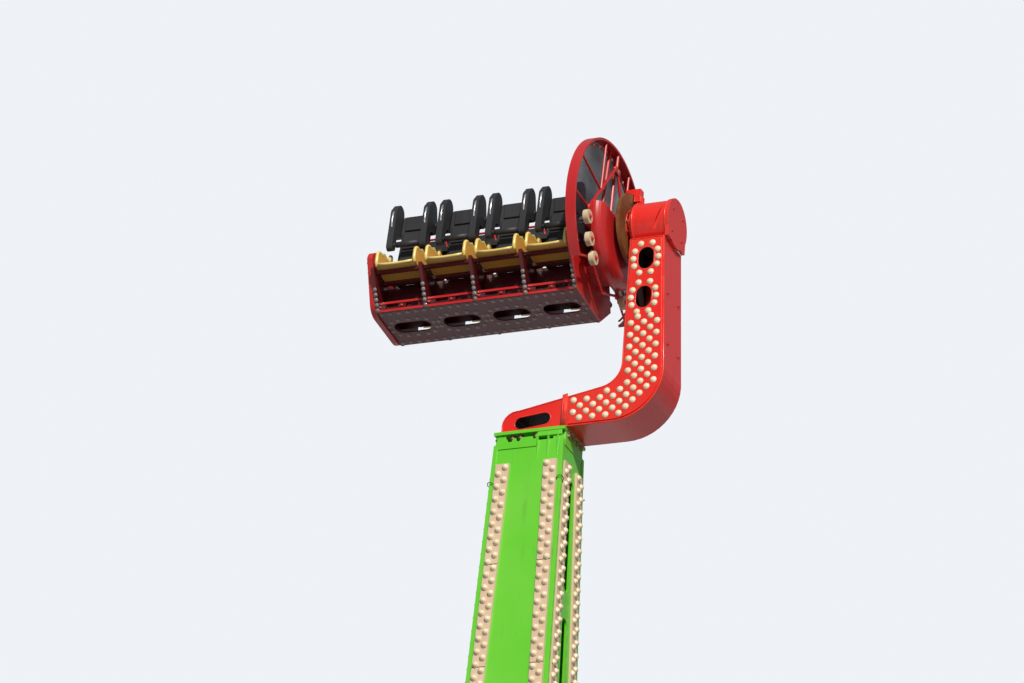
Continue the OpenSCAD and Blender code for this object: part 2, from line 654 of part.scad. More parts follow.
// Raking struts from the base beams' ends to the mast
strut_r = 110;
strut_z = 7200;
mast_half_d = mast_d / 2 - (mast_d - mast_top_d) / 2 * (strut_z - beam_top) / (head_high - beam_top);
mast_half_w = mast_w / 2 - (mast_w - mast_top_w) / 2 * (strut_z - beam_top) / (head_high - beam_top);
module mast_braces() color(green) difference() {
    union() {
        for (s = [-1, 1], t = [-1, 1])
            bar([mast_x + t * beam_gap_y / 2, s * (base_y / 2 - 500), beam_top - 200],
                [mast_x + t * 250, s * (mast_half_d - 100), strut_z], strut_r, 12);
        for (s = [-1, 1]) bar([base_x / 2 - 350, s * beam_gap_x / 2, beam_top - 200],
            [mast_x + mast_half_w - 100, s * 400, strut_z], strut_r, 12);
    }
    translate([-far, -2 * far, beam_top - far]) cube([3 * far, 4 * far, far]);
    translate([mast_x, 0, 0]) mast_form(beam_top, head_high, 0);
}

// Bearing housing through the mast's head, with its end flanges
housing_x0 = -520;
housing_x1 = 2000;
module hub_housing() color(red) translate([0, 0, hub_z]) difference() {
    union() {
        rod_x(housing_x0, housing_x1 - housing_x0, housing_r);
        rod_x(housing_x0, 110, housing_r + 120);
        rod_x(housing_x1 - 60, 60, housing_r + 60);
    }
    rod_x(housing_x0 - eps, housing_x1 - housing_x0 + 2 * eps, shaft_r + fit_gap);
}

// Gear motors round the shaft's end, on a carrier plate
motor_r = 130;
motor_len = 460;
module drive_motors() color(steel) translate([housing_x1, 0, hub_z]) {
    difference() {
        rod_x(0, 50, housing_r + 20);
        rod_x(-eps, 60, shaft_r + 30);
    }
    for (a = [45:90:359]) rotate([a, 0, 0]) translate([0, 420, 0]) {
        rod_x(50 - eps, 160, motor_r + 25);
        rod_x(200, motor_len - 200, motor_r);
    }
}

base_frame();
base_feet();
mast();
mast_braces();
hub_housing();
drive_motors();
arm_hub();
half_arm(1);  // upper_arm
light_strips(1);  // upper_light_strips
yoke(1);  // upper_yoke
yoke_panels(1);  // upper_yoke_panels
spindle_housing(1);  // upper_spindle_housing
hull(1);  // upper_hull
end_shell(1);  // upper_end_shell
end_casing(1);  // upper_end_casing
seat_shells(1);  // upper_seat_shells
seat_backs(1);  // upper_seat_backs
restraints(1, 0);  // upper_front_restraints
restraints(1, 1);  // upper_rear_restraints
end_wheel(1);  // upper_end_wheel
wheel_net(1);  // upper_wheel_net
rollers(1);  // upper_rollers
spindle(1);  // upper_spindle
half_arm(-1);  // lower_arm
light_strips(-1);  // lower_light_strips
yoke(-1);  // lower_yoke
yoke_panels(-1);  // lower_yoke_panels
spindle_housing(-1);  // lower_spindle_housing
hull(-1);  // lower_hull
end_shell(-1);  // lower_end_shell
end_casing(-1);  // lower_end_casing
seat_shells(-1);  // lower_seat_shells
seat_backs(-1);  // lower_seat_backs
restraints(-1, 0);  // lower_front_restraints
restraints(-1, 1);  // lower_rear_restraints
end_wheel(-1);  // lower_end_wheel
wheel_net(-1);  // lower_wheel_net
rollers(-1);  // lower_rollers
spindle(-1);  // lower_spindle
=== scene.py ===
import math

import bmesh
import bpy
from bpy.props import FloatProperty, FloatVectorProperty, IntProperty, PointerProperty
from mathutils import Matrix, Vector


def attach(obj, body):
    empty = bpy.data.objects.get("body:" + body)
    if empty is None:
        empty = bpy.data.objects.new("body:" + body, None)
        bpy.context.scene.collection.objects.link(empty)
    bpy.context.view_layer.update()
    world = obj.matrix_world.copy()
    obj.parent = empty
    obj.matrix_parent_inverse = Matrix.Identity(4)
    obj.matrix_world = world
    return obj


bl_info = {
    "name": "Rotating arm ride dressing",
    "version": (1, 0, 0),
    "blender": (4, 5, 0),
    "location": "3D View > Sidebar > Ride",
    "description": "Lamps, trim and finishes of a fairground ride with a rotating arm",
    "category": "Object",
}

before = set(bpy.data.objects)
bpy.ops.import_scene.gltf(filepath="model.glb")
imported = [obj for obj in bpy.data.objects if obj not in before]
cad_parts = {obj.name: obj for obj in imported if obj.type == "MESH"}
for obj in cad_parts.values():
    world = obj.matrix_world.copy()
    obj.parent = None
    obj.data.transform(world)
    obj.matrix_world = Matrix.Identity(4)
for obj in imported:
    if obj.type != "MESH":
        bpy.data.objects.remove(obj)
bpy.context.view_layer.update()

ENDS = (("upper", 1), ("lower", -1))
SIDES = (-1, 1)
CORNERS = [(side, face) for side in SIDES for face in SIDES]

# Places of the frame, in metres, as the part's source has them
ARM_X = -1.2
HUB_Z = 14.3
FLANGE_R = 10.0
SPINDLE_RISE = 2.38
UPPER_TILT = math.radians(-6.0)
SEAT_PITCH = 0.58
SEATS = 4
HULL_END_X = 0.48
HULL_X0 = HULL_END_X - SEATS * SEAT_PITCH
SEAT_XS = [HULL_END_X - SEAT_PITCH * (i + 0.5) for i in range(SEATS)]
HINGE_Y = 0.235
HINGE_Z = 0.215
WHEEL_X = 0.54
RIM_W = 0.11
YOKE_D = 0.50
PANEL_T = 0.014
PANEL_EDGE = 0.028
PORT_X = 1.18
PORT_ZS = (1.42, 1.88)
PORT_MIDDLE = PORT_X + 0.005
FOOT_HOLE = (0.01, 0.112)
FOOT_HOLE_TILT = math.radians(6)
MAST_X = 1.3
MAST_FOOT = 0.5
MAST_H = 14.56
MAST_HALF = (0.625, 0.75)
MAST_TAPER = (0.175, 0.05)
HULL_LOW = -0.90

# The arm's light strips, and the level of its bolt recess
STRIP_INSET = 0.12
STRIP_HALF = 0.076
STRIP_FACE = 0.0255
LAMP_SEAT = 0.024
LAMP_ZIGZAG = 0.036
LAMPS_TOP = 9.575
LAMPS_END = 1.1
SEAM_STEP = 1.16
SEAM_HALF = 0.0015
RECESS_R = 9.87


def half_w(r):
    """Half of the arm's width at a distance from its axis."""
    return (0.76 + (FLANGE_R - r) * 0.045) / 2


def half_d(r):
    """Half of the arm's depth at a distance from its axis."""
    return (0.54 + (FLANGE_R - r) * 0.077) / 2


def end_frame(up):
    """Frame of a half arm, with Z from the arm's axis outwards."""
    place = Matrix.Translation((ARM_X, 0, HUB_Z))
    return place if up > 0 else place @ Matrix.Rotation(math.pi, 4, "X")


def flange_frame(up):
    """Frame at the middle of a half arm's end flange."""
    return end_frame(up) @ Matrix.Translation((0, 0, FLANGE_R))


def gondola_frame(up):
    """Frame on a gondola's spindle axis, turned with the gondola."""
    place = Matrix.Translation((ARM_X, 0, HUB_Z + up * (FLANGE_R + SPINDLE_RISE)))
    return place @ Matrix.Rotation(UPPER_TILT if up > 0 else 0.0, 4, "X")


def aim(at, towards, roll=0.0):
    """Matrix that sets a piece drawn along +Z at a place, pointing a given way."""
    turn = Vector(towards).to_track_quat("Z", "Y").to_matrix().to_4x4()
    return Matrix.Translation(at) @ turn @ Matrix.Rotation(roll, 4, "Z")


def new_piece(name, bm, place, body, material, smooth=False):
    """Makes one object of the ride from a bmesh that is drawn in a local frame."""
    bm.transform(place)
    bmesh.ops.recalc_face_normals(bm, faces=bm.faces)
    mesh = bpy.data.meshes.new(name)
    for face in bm.faces:
        face.smooth = smooth
    bm.to_mesh(mesh)
    bm.free()
    piece = bpy.data.objects.new(name, mesh)
    bpy.context.scene.collection.objects.link(piece)
    mesh.materials.append(material)
    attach(piece, body)


def gondola_piece(end, up, kind, bm, material, smooth=False):
    """Makes a piece that turns with one end's gondola."""
    new_piece("%s_%s" % (end, kind), bm, gondola_frame(up), end + "_gondola", material, smooth)


def stamp(bm, mesh, matrix):
    """Adds a copy of a small mesh to a bmesh."""
    mesh.transform(matrix)
    bm.from_mesh(mesh)
    mesh.transform(matrix.inverted())


def to_mesh(name, bm):
    """Keeps a bmesh as a small mesh for stamping."""
    bmesh.ops.recalc_face_normals(bm, faces=bm.faces)
    for face in bm.faces:
        face.smooth = True
    mesh = bpy.data.meshes.new(name)
    bm.to_mesh(mesh)
    bm.free()
    return mesh


def cone(bm, sides, low_radius, high_radius, height, place):
    """A round or many-sided bar along a frame's Z axis, with its middle at the frame."""
    bmesh.ops.create_cone(bm, cap_ends=True, segments=sides, radius1=low_radius, radius2=high_radius,
                          depth=height, matrix=place)


def lamp_mesh(radius, height):
    """One lamp: a low collar and a dome, drawn along +Z."""
    bm = bmesh.new()
    dome = bmesh.ops.create_uvsphere(bm, u_segments=8, v_segments=6, radius=radius)
    bmesh.ops.scale(bm, vec=(1, 1, height / radius), verts=dome["verts"])
    cut = bmesh.ops.bisect_plane(bm, geom=bm.verts[:] + bm.edges[:] + bm.faces[:], plane_co=(0, 0, 0),
                                 plane_no=(0, 0, -1), clear_outer=True)
    rim = [g for g in cut["geom_cut"] if isinstance(g, bmesh.types.BMEdge)]
    bmesh.ops.edgeloop_fill(bm, edges=rim)
    cone(bm, 8, radius * 1.16, radius * 1.08, height * 0.36, Matrix.Translation((0, 0, height * 0.17)))
    return to_mesh("lamp", bm)


def bolt_mesh(radius, height):
    """One hexagon bolt head on its washer, drawn along +Z."""
    bm = bmesh.new()
    cone(bm, 12, radius * 1.4, radius * 1.4, height * 0.3, Matrix.Translation((0, 0, height * 0.1)))
    cone(bm, 6, radius, radius * 0.94, height, Matrix.Translation((0, 0, height * 0.6)))
    mesh = to_mesh("bolt", bm)
    for polygon in mesh.polygons:
        polygon.use_smooth = False
    return mesh


def rod(bm, start, end, radius, sides=10):
    """A straight round bar between two points."""
    start, end = Vector(start), Vector(end)
    cone(bm, sides, radius, radius, (end - start).length, aim((start + end) / 2, end - start))


def block(bm, low, high, bevel=0.0):
    """A box between two corners, with rounded edges."""
    low, high = Vector(low), Vector(high)
    made = bmesh.ops.create_cube(bm, size=1.0, matrix=Matrix.Translation((low + high) / 2)
                                 @ Matrix.Diagonal((high - low).to_4d()))
    if bevel:
        edges = list({e for v in made["verts"] for e in v.link_edges})
        bmesh.ops.bevel(bm, geom=edges, offset=bevel, affect="EDGES", segments=2, profile=0.5, material=-1)


def tube(bm, points, radius, sides=8, closed=False):
    """A bent round tube through points, from rings that are bridged."""
    points = [Vector(p) for p in points]
    loops = []
    count = len(points)
    for i, point in enumerate(points):
        before = points[i - 1] if (i or closed) else point
        after = points[(i + 1) % count] if (i + 1 < count or closed) else point
        ring = bmesh.ops.create_circle(bm, cap_ends=False, radius=radius, segments=sides,
                                       matrix=aim(point, after - before))
        loops.append(list({e for v in ring["verts"] for e in v.link_edges}))
    for first, second in zip(loops, loops[1:] + ([loops[0]] if closed else [])):
        bmesh.ops.bridge_loops(bm, edges=first + second)
    if not closed:
        for loop in (loops[0], loops[-1]):
            bmesh.ops.edgeloop_fill(bm, edges=loop)


def plate(bm, outline, axis, start, thickness):
    """A flat plate: an outline in the two other axes, extruded along one axis."""
    index = "xyz".index(axis)
    corners = [(*point[:index], start, *point[index:]) for point in outline]
    face = bm.faces.new([bm.verts.new(corner) for corner in corners])
    grown = bmesh.ops.extrude_face_region(bm, geom=[face])
    moved = [g for g in grown["geom"] if isinstance(g, bmesh.types.BMVert)]
    bmesh.ops.translate(bm, vec=Matrix.Identity(3)[index] * thickness, verts=moved)


def arc(centre, radius, start, end, count):
    """Points of an arc, with angles in degrees."""
    steps = [math.radians(start + (end - start) * i / count) for i in range(count + 1)]
    return [(centre[0] + radius * math.cos(a), centre[1] + radius * math.sin(a)) for a in steps]


def circle(radius, count, start=0.0):
    """Evenly spaced points of a full circle."""
    steps = [math.tau * (i + start) / count for i in range(count)]
    return [(radius * math.cos(a), radius * math.sin(a)) for a in steps]


def inside(point, outline):
    """Whether a point lies within a closed outline."""
    x, z = point
    hit = False
    for (x0, z0), (x1, z1) in zip(outline, outline[1:] + outline[:1]):
        if (z0 > z) != (z1 > z) and x < (x1 - x0) * (z - z0) / (z1 - z0) + x0:
            hit = not hit
    return hit


def yoke_outline(inset):
    """Outline of the yoke as (x, z) from the end flange's middle."""
    return ([(-0.34 + inset, inset)] + arc((0.90, 0.56), 0.56 - inset, -90, 0, 12)
            + [(1.37 - inset, 2.135 - inset), (0.98 + inset, 2.135 - inset)]
            + arc((0.72, 0.68), 0.26 + inset, 0, -78, 8)
            + [(-0.15, 0.25 - inset)] + arc((-0.17, 0.08), 0.17 - inset, 90, 180, 5))


def yoke_back(z):
    """How far out the bolts of the yoke's leaning back sit, at a height from the spindle."""
    return 1.378 + 0.09 * (-0.245 - z) / 1.575


# Node helpers

def group_of(name, inputs, outputs):
    """A new shader node group, with the values it is given and the sockets it fills."""
    tree = bpy.data.node_groups.new(name, "ShaderNodeTree")
    for label, kind, value in inputs:
        socket = tree.interface.new_socket(label, in_out="INPUT", socket_type=kind)
        if value is not None:
            socket.default_value = value
    for label, kind in outputs:
        tree.interface.new_socket(label, in_out="OUTPUT", socket_type=kind)
    return tree, tree.nodes.new("NodeGroupInput").outputs, tree.nodes.new("NodeGroupOutput").inputs


def feed(tree, value, socket):
    """Links an output to a socket, or sets the socket to a plain value."""
    if hasattr(value, "is_linked"):
        tree.links.new(value, socket)
    else:
        socket.default_value = value


def fill(tree, node, values):
    """Feeds several sockets of a node, each by its name."""
    for label, value in values.items():
        feed(tree, value, node.inputs[label])


def noise(tree, vector, scale, detail=3.0, stretch=None):
    """A noise texture on a vector, stretched where wanted."""
    if stretch:
        mapping = tree.nodes.new("ShaderNodeMapping")
        fill(tree, mapping, {"Vector": vector, "Scale": stretch})
        vector = mapping.outputs["Vector"]
    node = tree.nodes.new("ShaderNodeTexNoise")
    fill(tree, node, {"Vector": vector, "Scale": scale, "Detail": detail})
    return node.outputs["Fac"]


def ramp(tree, value, low, high, low_to=0.0, high_to=1.0):
    """Maps a value from one range to another, clamped."""
    node = tree.nodes.new("ShaderNodeMapRange")
    fill(tree, node, {"Value": value, "From Min": low, "From Max": high, "To Min": low_to, "To Max": high_to})
    return node.outputs["Result"]


def mix(tree, factor, first, second, blend="MIX"):
    """Mixes two colours by a factor, where each may be a socket or a value."""
    node = tree.nodes.new("ShaderNodeMix")
    node.data_type = "RGBA"
    node.blend_type = blend
    for index, value in ((0, factor), (6, first), (7, second)):
        feed(tree, value, node.inputs[index])
    return node.outputs[2]


def maths(tree, operation, first, second):
    """One step of arithmetic, where each value may be a socket or a number."""
    node = tree.nodes.new("ShaderNodeMath")
    node.operation = operation
    for socket, value in zip(node.inputs, (first, second)):
        feed(tree, value, socket)
    return node.outputs[0]


def make_weathering():
    """Group: paint with slow fading, rain streaks, small chips, and worn edges that also carry a painted
    highlight.
    """
    tree, given, made = group_of("Weathered surface", (
        ("Vector", "NodeSocketVector", None), ("Paint", "NodeSocketColor", None),
        ("Grime", "NodeSocketColor", None), ("Worn and highlight", "NodeSocketColor", None),
        ("Fading", "NodeSocketFloat", 0.2), ("Streaks", "NodeSocketFloat", 0.2),
        ("Chips", "NodeSocketFloat", 0.2), ("Edge wear and highlight", "NodeSocketFloat", 0.3),
        ("Gloss", "NodeSocketFloat", 0.35)),
        (("Color", "NodeSocketColor"), ("Roughness", "NodeSocketFloat"), ("Height", "NodeSocketFloat")))
    vector = given["Vector"]
    slow = ramp(tree, noise(tree, vector, 0.9, 4.0), 0.35, 0.7)
    faded = mix(tree, maths(tree, "MULTIPLY", slow, given["Fading"]), given["Paint"], given["Worn and highlight"])
    rain = ramp(tree, noise(tree, vector, 1.0, 5.0, (14.0, 14.0, 0.9)), 0.56, 0.8)
    patches = ramp(tree, noise(tree, vector, 2.2, 3.0), 0.42, 0.62)
    rain = maths(tree, "MULTIPLY", maths(tree, "MULTIPLY", rain, patches), given["Streaks"])
    dirty = mix(tree, rain, faded, given["Grime"])
    chips = ramp(tree, noise(tree, vector, 38.0, 2.0), 0.74, 0.78)
    chips = maths(tree, "MULTIPLY", chips, given["Chips"])
    chipped = mix(tree, chips, dirty, given["Grime"])
    # Edge mask: worn paint on the edges, and also a lighter painted highlight line along them
    soft = tree.nodes.new("ShaderNodeBevel")
    soft.samples = 4
    soft.inputs["Radius"].default_value = 0.012
    true_normal = tree.nodes.new("ShaderNodeNewGeometry")
    dot = tree.nodes.new("ShaderNodeVectorMath")
    dot.operation = "DOT_PRODUCT"
    tree.links.new(soft.outputs["Normal"], dot.inputs[0])
    tree.links.new(true_normal.outputs["True Normal"], dot.inputs[1])
    edge = ramp(tree, dot.outputs["Value"], 0.99, 0.80)
    edge = maths(tree, "MULTIPLY", edge, given["Edge wear and highlight"])
    edge = maths(tree, "MULTIPLY", edge, ramp(tree, noise(tree, vector, 9.0, 3.0), 0.3, 0.6))
    colour = mix(tree, edge, chipped, given["Worn and highlight"])
    rough = maths(tree, "ADD", given["Gloss"], maths(tree, "MULTIPLY", slow, 0.12))
    rough = maths(tree, "ADD", rough, maths(tree, "MULTIPLY", maths(tree, "ADD", rain, chips), 0.3))
    height = maths(tree, "SUBTRACT", maths(tree, "MULTIPLY", noise(tree, vector, 55.0, 2.0), 0.25), chips)
    for label, value in (("Color", colour), ("Roughness", rough), ("Height", height)):
        tree.links.new(value, made[label])
    return tree


def new_material(name):
    """A material with its Principled shader and Object coordinates."""
    material = bpy.data.materials.new(name)
    material.use_nodes = True
    tree = material.node_tree
    shader = next(n for n in tree.nodes if n.type == "BSDF_PRINCIPLED")
    coordinates = tree.nodes.new("ShaderNodeTexCoord")
    return material, tree, shader, coordinates.outputs["Object"]


def raise_from(tree, shader, height, distance):
    """Bump from a height value."""
    bump = tree.nodes.new("ShaderNodeBump")
    fill(tree, bump, {"Strength": 0.5, "Distance": distance, "Height": height})
    tree.links.new(bump.outputs["Normal"], shader.inputs["Normal"])


def weathered(name, group, paint, grime, worn_and_highlight, amounts, bump=0.002, metallic=0.0, coat=0.0):
    """A material made from the weathering group; amounts are fading, streaks, chips, edge wear with its painted
    highlight, and gloss.
    """
    material, tree, shader, vector = new_material(name)
    node = tree.nodes.new("ShaderNodeGroup")
    node.node_tree = group
    fill(tree, node, {"Vector": vector, "Paint": (*paint, 1), "Grime": (*grime, 1), "Worn and highlight": (*worn_and_highlight, 1)})
    fill(tree, node, dict(zip(("Fading", "Streaks", "Chips", "Edge wear and highlight", "Gloss"), amounts)))
    fill(tree, shader, {"Base Color": node.outputs["Color"], "Roughness": node.outputs["Roughness"],
                        "Metallic": metallic, "Coat Weight": coat, "Coat Roughness": 0.12})
    raise_from(tree, shader, node.outputs["Height"], bump)
    return material


def make_net_material():
    """Dark woven net: fine threads with see-through holes between them."""
    material, tree, shader, vector = new_material("Dark woven net")
    split = tree.nodes.new("ShaderNodeSeparateXYZ")
    tree.links.new(vector, split.inputs[0])
    masks = []
    for axis in ("Y", "Z"):
        wave = maths(tree, "SINE", maths(tree, "MULTIPLY", split.outputs[axis], math.tau / 0.022), 0.0)
        masks.append(ramp(tree, wave, -0.35, 0.05))
    threads = maths(tree, "MAXIMUM", masks[0], masks[1])
    slack = ramp(tree, noise(tree, vector, 2.0, 3.0), 0.3, 0.7, 0.62, 0.9)
    blotches = ramp(tree, noise(tree, vector, 3.0, 4.0), 0.35, 0.7)
    colour = mix(tree, blotches, (0.012, 0.014, 0.022, 1), (0.03, 0.032, 0.045, 1))
    fill(tree, shader, {"Base Color": colour, "Roughness": ramp(tree, threads, 0.0, 1.0, 0.85, 0.6),
                        "Alpha": ramp(tree, threads, 0.0, 1.0, 0.38, slack)})
    raise_from(tree, shader, threads, 0.002)
    return material


def make_lamp_material(name, cap, shade, gloss):
    """Moulded lamp caps with slight differences from lamp to lamp."""
    material, tree, shader, vector = new_material(name)
    each = ramp(tree, noise(tree, vector, 6.0, 1.0), 0.35, 0.65)
    dust = ramp(tree, noise(tree, vector, 45.0, 3.0), 0.5, 0.75)
    colour = mix(tree, maths(tree, "MULTIPLY", each, 0.5), (*cap, 1), (*shade, 1))
    colour = mix(tree, maths(tree, "MULTIPLY", dust, 0.25), colour, (*shade, 1))
    fill(tree, shader, {"Base Color": colour, "Roughness": ramp(tree, dust, 0.0, 1.0, gloss, gloss + 0.25),
                        "Coat Weight": 0.25})
    raise_from(tree, shader, dust, 0.0006)
    return material


def make_disc_material():
    """Brake steel: brown rust film with turning rings."""
    material, tree, shader, vector = new_material("Rust filmed brake steel")
    rust = ramp(tree, noise(tree, vector, 5.0, 5.0), 0.35, 0.65)
    rings = ramp(tree, noise(tree, vector, 30.0, 2.0), 0.3, 0.7)
    colour = mix(tree, rust, (0.20, 0.075, 0.018, 1), (0.30, 0.125, 0.035, 1))
    colour = mix(tree, maths(tree, "MULTIPLY", rings, 0.35), colour, (0.10, 0.045, 0.02, 1))
    fill(tree, shader, {"Base Color": colour, "Roughness": ramp(tree, rust, 0.0, 1.0, 0.42, 0.7),
                        "Metallic": 0.35})
    raise_from(tree, shader, rings, 0.001)
    return material


M = {}

CAD_FINISHES = {
    "base_frame": "frame_grey", "base_feet": "frame_grey", "mast": "green", "mast_braces": "green",
    "hub_housing": "red", "drive_motors": "motor_grey", "arm_hub": "green",
    "arm": "green", "light_strips": "strip", "yoke": "red", "yoke_panels": "red", "spindle_housing": "red",
    "hull": "crimson", "end_shell": "gondola", "end_casing": "gondola", "seat_shells": "amber",
    "seat_backs": "black", "front_restraints": "black", "rear_restraints": "black", "end_wheel": "gondola",
    "wheel_net": "net", "rollers": "roller", "spindle": "disc",
}


class RIDE_OT_finishes(bpy.types.Operator):
    """Makes the ride's finishes and gives them to the pieces of the frame"""

    bl_idname = "ride.finishes"
    bl_label = "Finishes"

    def execute(self, context):
        c = context.scene.ride_colours
        group = make_weathering()
        dark = (0.02, 0.016, 0.014)
        # Key, name, paint, grime, worn paint that is also the painted edge highlight, amounts, and what else
        # differs
        for key, name, paint, grime, worn_and_highlight, amounts, more in (
                ("green", "Lime green gloss paint", c.green, (0.05, 0.09, 0.02), (0.32, 0.72, 0.10),
                 (0.30, 0.35, 0.45, 0.5, 0.30), {"coat": 0.2}),
                ("red", "Red gloss paint", c.red, (0.16, 0.012, 0.01), (0.95, 0.16, 0.09),
                 (0.14, 0.35, 0.3, 0.6, 0.28), {"coat": 0.3}),
                # Hull: its red paint, with paint and worn colours darkened further as painted shade for the
                # shaded underside
                ("crimson", "Hull red paint with painted shade", c.hull, (0.035, 0.004, 0.006), (0.20, 0.012, 0.015),
                 (0.3, 0.5, 0.4, 0.4, 0.4), {"coat": 0.1}),
                # Gondola red: its paint, made somewhat darker as painted shade
                ("gondola", "Gondola red paint with some painted shade", c.gondola, (0.12, 0.01, 0.01), (0.85, 0.12, 0.08),
                 (0.2, 0.4, 0.3, 0.55, 0.32), {"coat": 0.2}),
                ("frame_grey", "Grey frame paint", (0.30, 0.32, 0.35), dark, (0.5, 0.5, 0.5),
                 (0.3, 0.5, 0.5, 0.5, 0.45), {}),
                ("motor_grey", "Grey motor paint", (0.22, 0.24, 0.27), dark, (0.42, 0.42, 0.42),
                 (0.3, 0.4, 0.4, 0.4, 0.4), {}),
                ("strip", "Cream light strip", c.strip, (0.30, 0.24, 0.18), (0.80, 0.66, 0.50),
                 (0.35, 0.25, 0.15, 0.3, 0.45), {"bump": 0.001}),
                ("amber", "Amber seat moulding", c.seat, (0.22, 0.10, 0.015), (0.95, 0.72, 0.25),
                 (0.3, 0.3, 0.2, 0.5, 0.3), {"bump": 0.001, "coat": 0.2}),
                # Yellow lip: painted sunlit highlight on the top edges of the amber seat wings
                ("lip", "Yellow seat lip", (0.86, 0.62, 0.13), (0.45, 0.24, 0.04), (0.98, 0.86, 0.40),
                 (0.4, 0.2, 0.1, 0.3, 0.28), {"bump": 0.0008, "coat": 0.3}),
                ("black", "Black foam skin", (0.014, 0.014, 0.017), (0.035, 0.033, 0.03), (0.055, 0.055, 0.06),
                 (0.4, 0.4, 0.5, 0.6, 0.48), {"bump": 0.0015}),
                ("roller", "Cream roller polymer", (0.68, 0.55, 0.34), (0.28, 0.20, 0.12), (0.80, 0.70, 0.50),
                 (0.5, 0.4, 0.4, 0.3, 0.5), {}),
                ("steel", "Bright handle steel", (0.72, 0.73, 0.75), (0.3, 0.3, 0.3), (0.9, 0.9, 0.9),
                 (0.2, 0.2, 0.2, 0.2, 0.22), {"bump": 0.0004, "metallic": 1.0}),
                ("bolt", "Rusty bolt steel", (0.20, 0.105, 0.06), (0.07, 0.035, 0.02), (0.36, 0.25, 0.17),
                 (0.5, 0.5, 0.5, 0.5, 0.55), {"metallic": 0.4}),
                ("cable", "Black cable sheath", (0.012, 0.012, 0.013), (0.03, 0.03, 0.03), (0.06, 0.06, 0.06),
                 (0.3, 0.3, 0.2, 0.3, 0.5), {"bump": 0.0006}),
                # Dark: seam joints of the light strips, and painted shade on the sheet inside the yokes
                ("dark", "Dark seams and painted inner shade", (0.02, 0.006, 0.008), dark, (0.05, 0.01, 0.01),
                 (0.3, 0.3, 0.2, 0.2, 0.6), {})):
            M[key] = weathered(name, group, paint, grime, worn_and_highlight, amounts, **more)
        M["lamp"] = make_lamp_material("Cream lamp cap", c.lamp, (0.80, 0.62, 0.38), 0.25)
        M["lamp_grey"] = make_lamp_material("Clear grey lamp cap", c.unlit_lamp, (0.14, 0.12, 0.12), 0.12)
        M["net"] = make_net_material()
        M["disc"] = make_disc_material()
        for node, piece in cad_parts.items():
            plain = node.split("_", 1)[1] if node.split("_")[0] in ("upper", "lower") else node
            finish = M[CAD_FINISHES[plain]]
            for index in range(max(1, len(piece.data.materials))):
                if len(piece.data.materials) <= index:
                    piece.data.materials.append(finish)
                else:
                    piece.data.materials[index] = finish
        return {"FINISHED"}


class RIDE_OT_arm_lamps(bpy.types.Operator):
    """Zigzag rows of lamps on the arm's light strips"""

    bl_idname = "ride.arm_lamps"
    bl_label = "Arm lamps"

    def execute(self, context):
        s = context.scene.ride_sizes
        lamp = lamp_mesh(s.lamp_radius, s.lamp_radius * 1.05)
        for name, up in ENDS:
            bm = bmesh.new()
            r, count = LAMPS_TOP, 0
            while r > LAMPS_END:
                w, d = half_w(r), half_d(r)
                shift = (LAMP_ZIGZAG if count % 2 else -LAMP_ZIGZAG) - STRIP_INSET
                for side, face in CORNERS:
                    stamp(bm, lamp, aim((side * (w + shift), face * (d + LAMP_SEAT), r), (0, face, 0)))
                    stamp(bm, lamp, aim((face * (w + LAMP_SEAT), side * (d + shift), r), (face, 0, 0)))
                r -= s.strip_pitch
                count += 1
            new_piece(name + "_arm_lamps", bm, end_frame(up), "arm", M["lamp"], True)
        return {"FINISHED"}


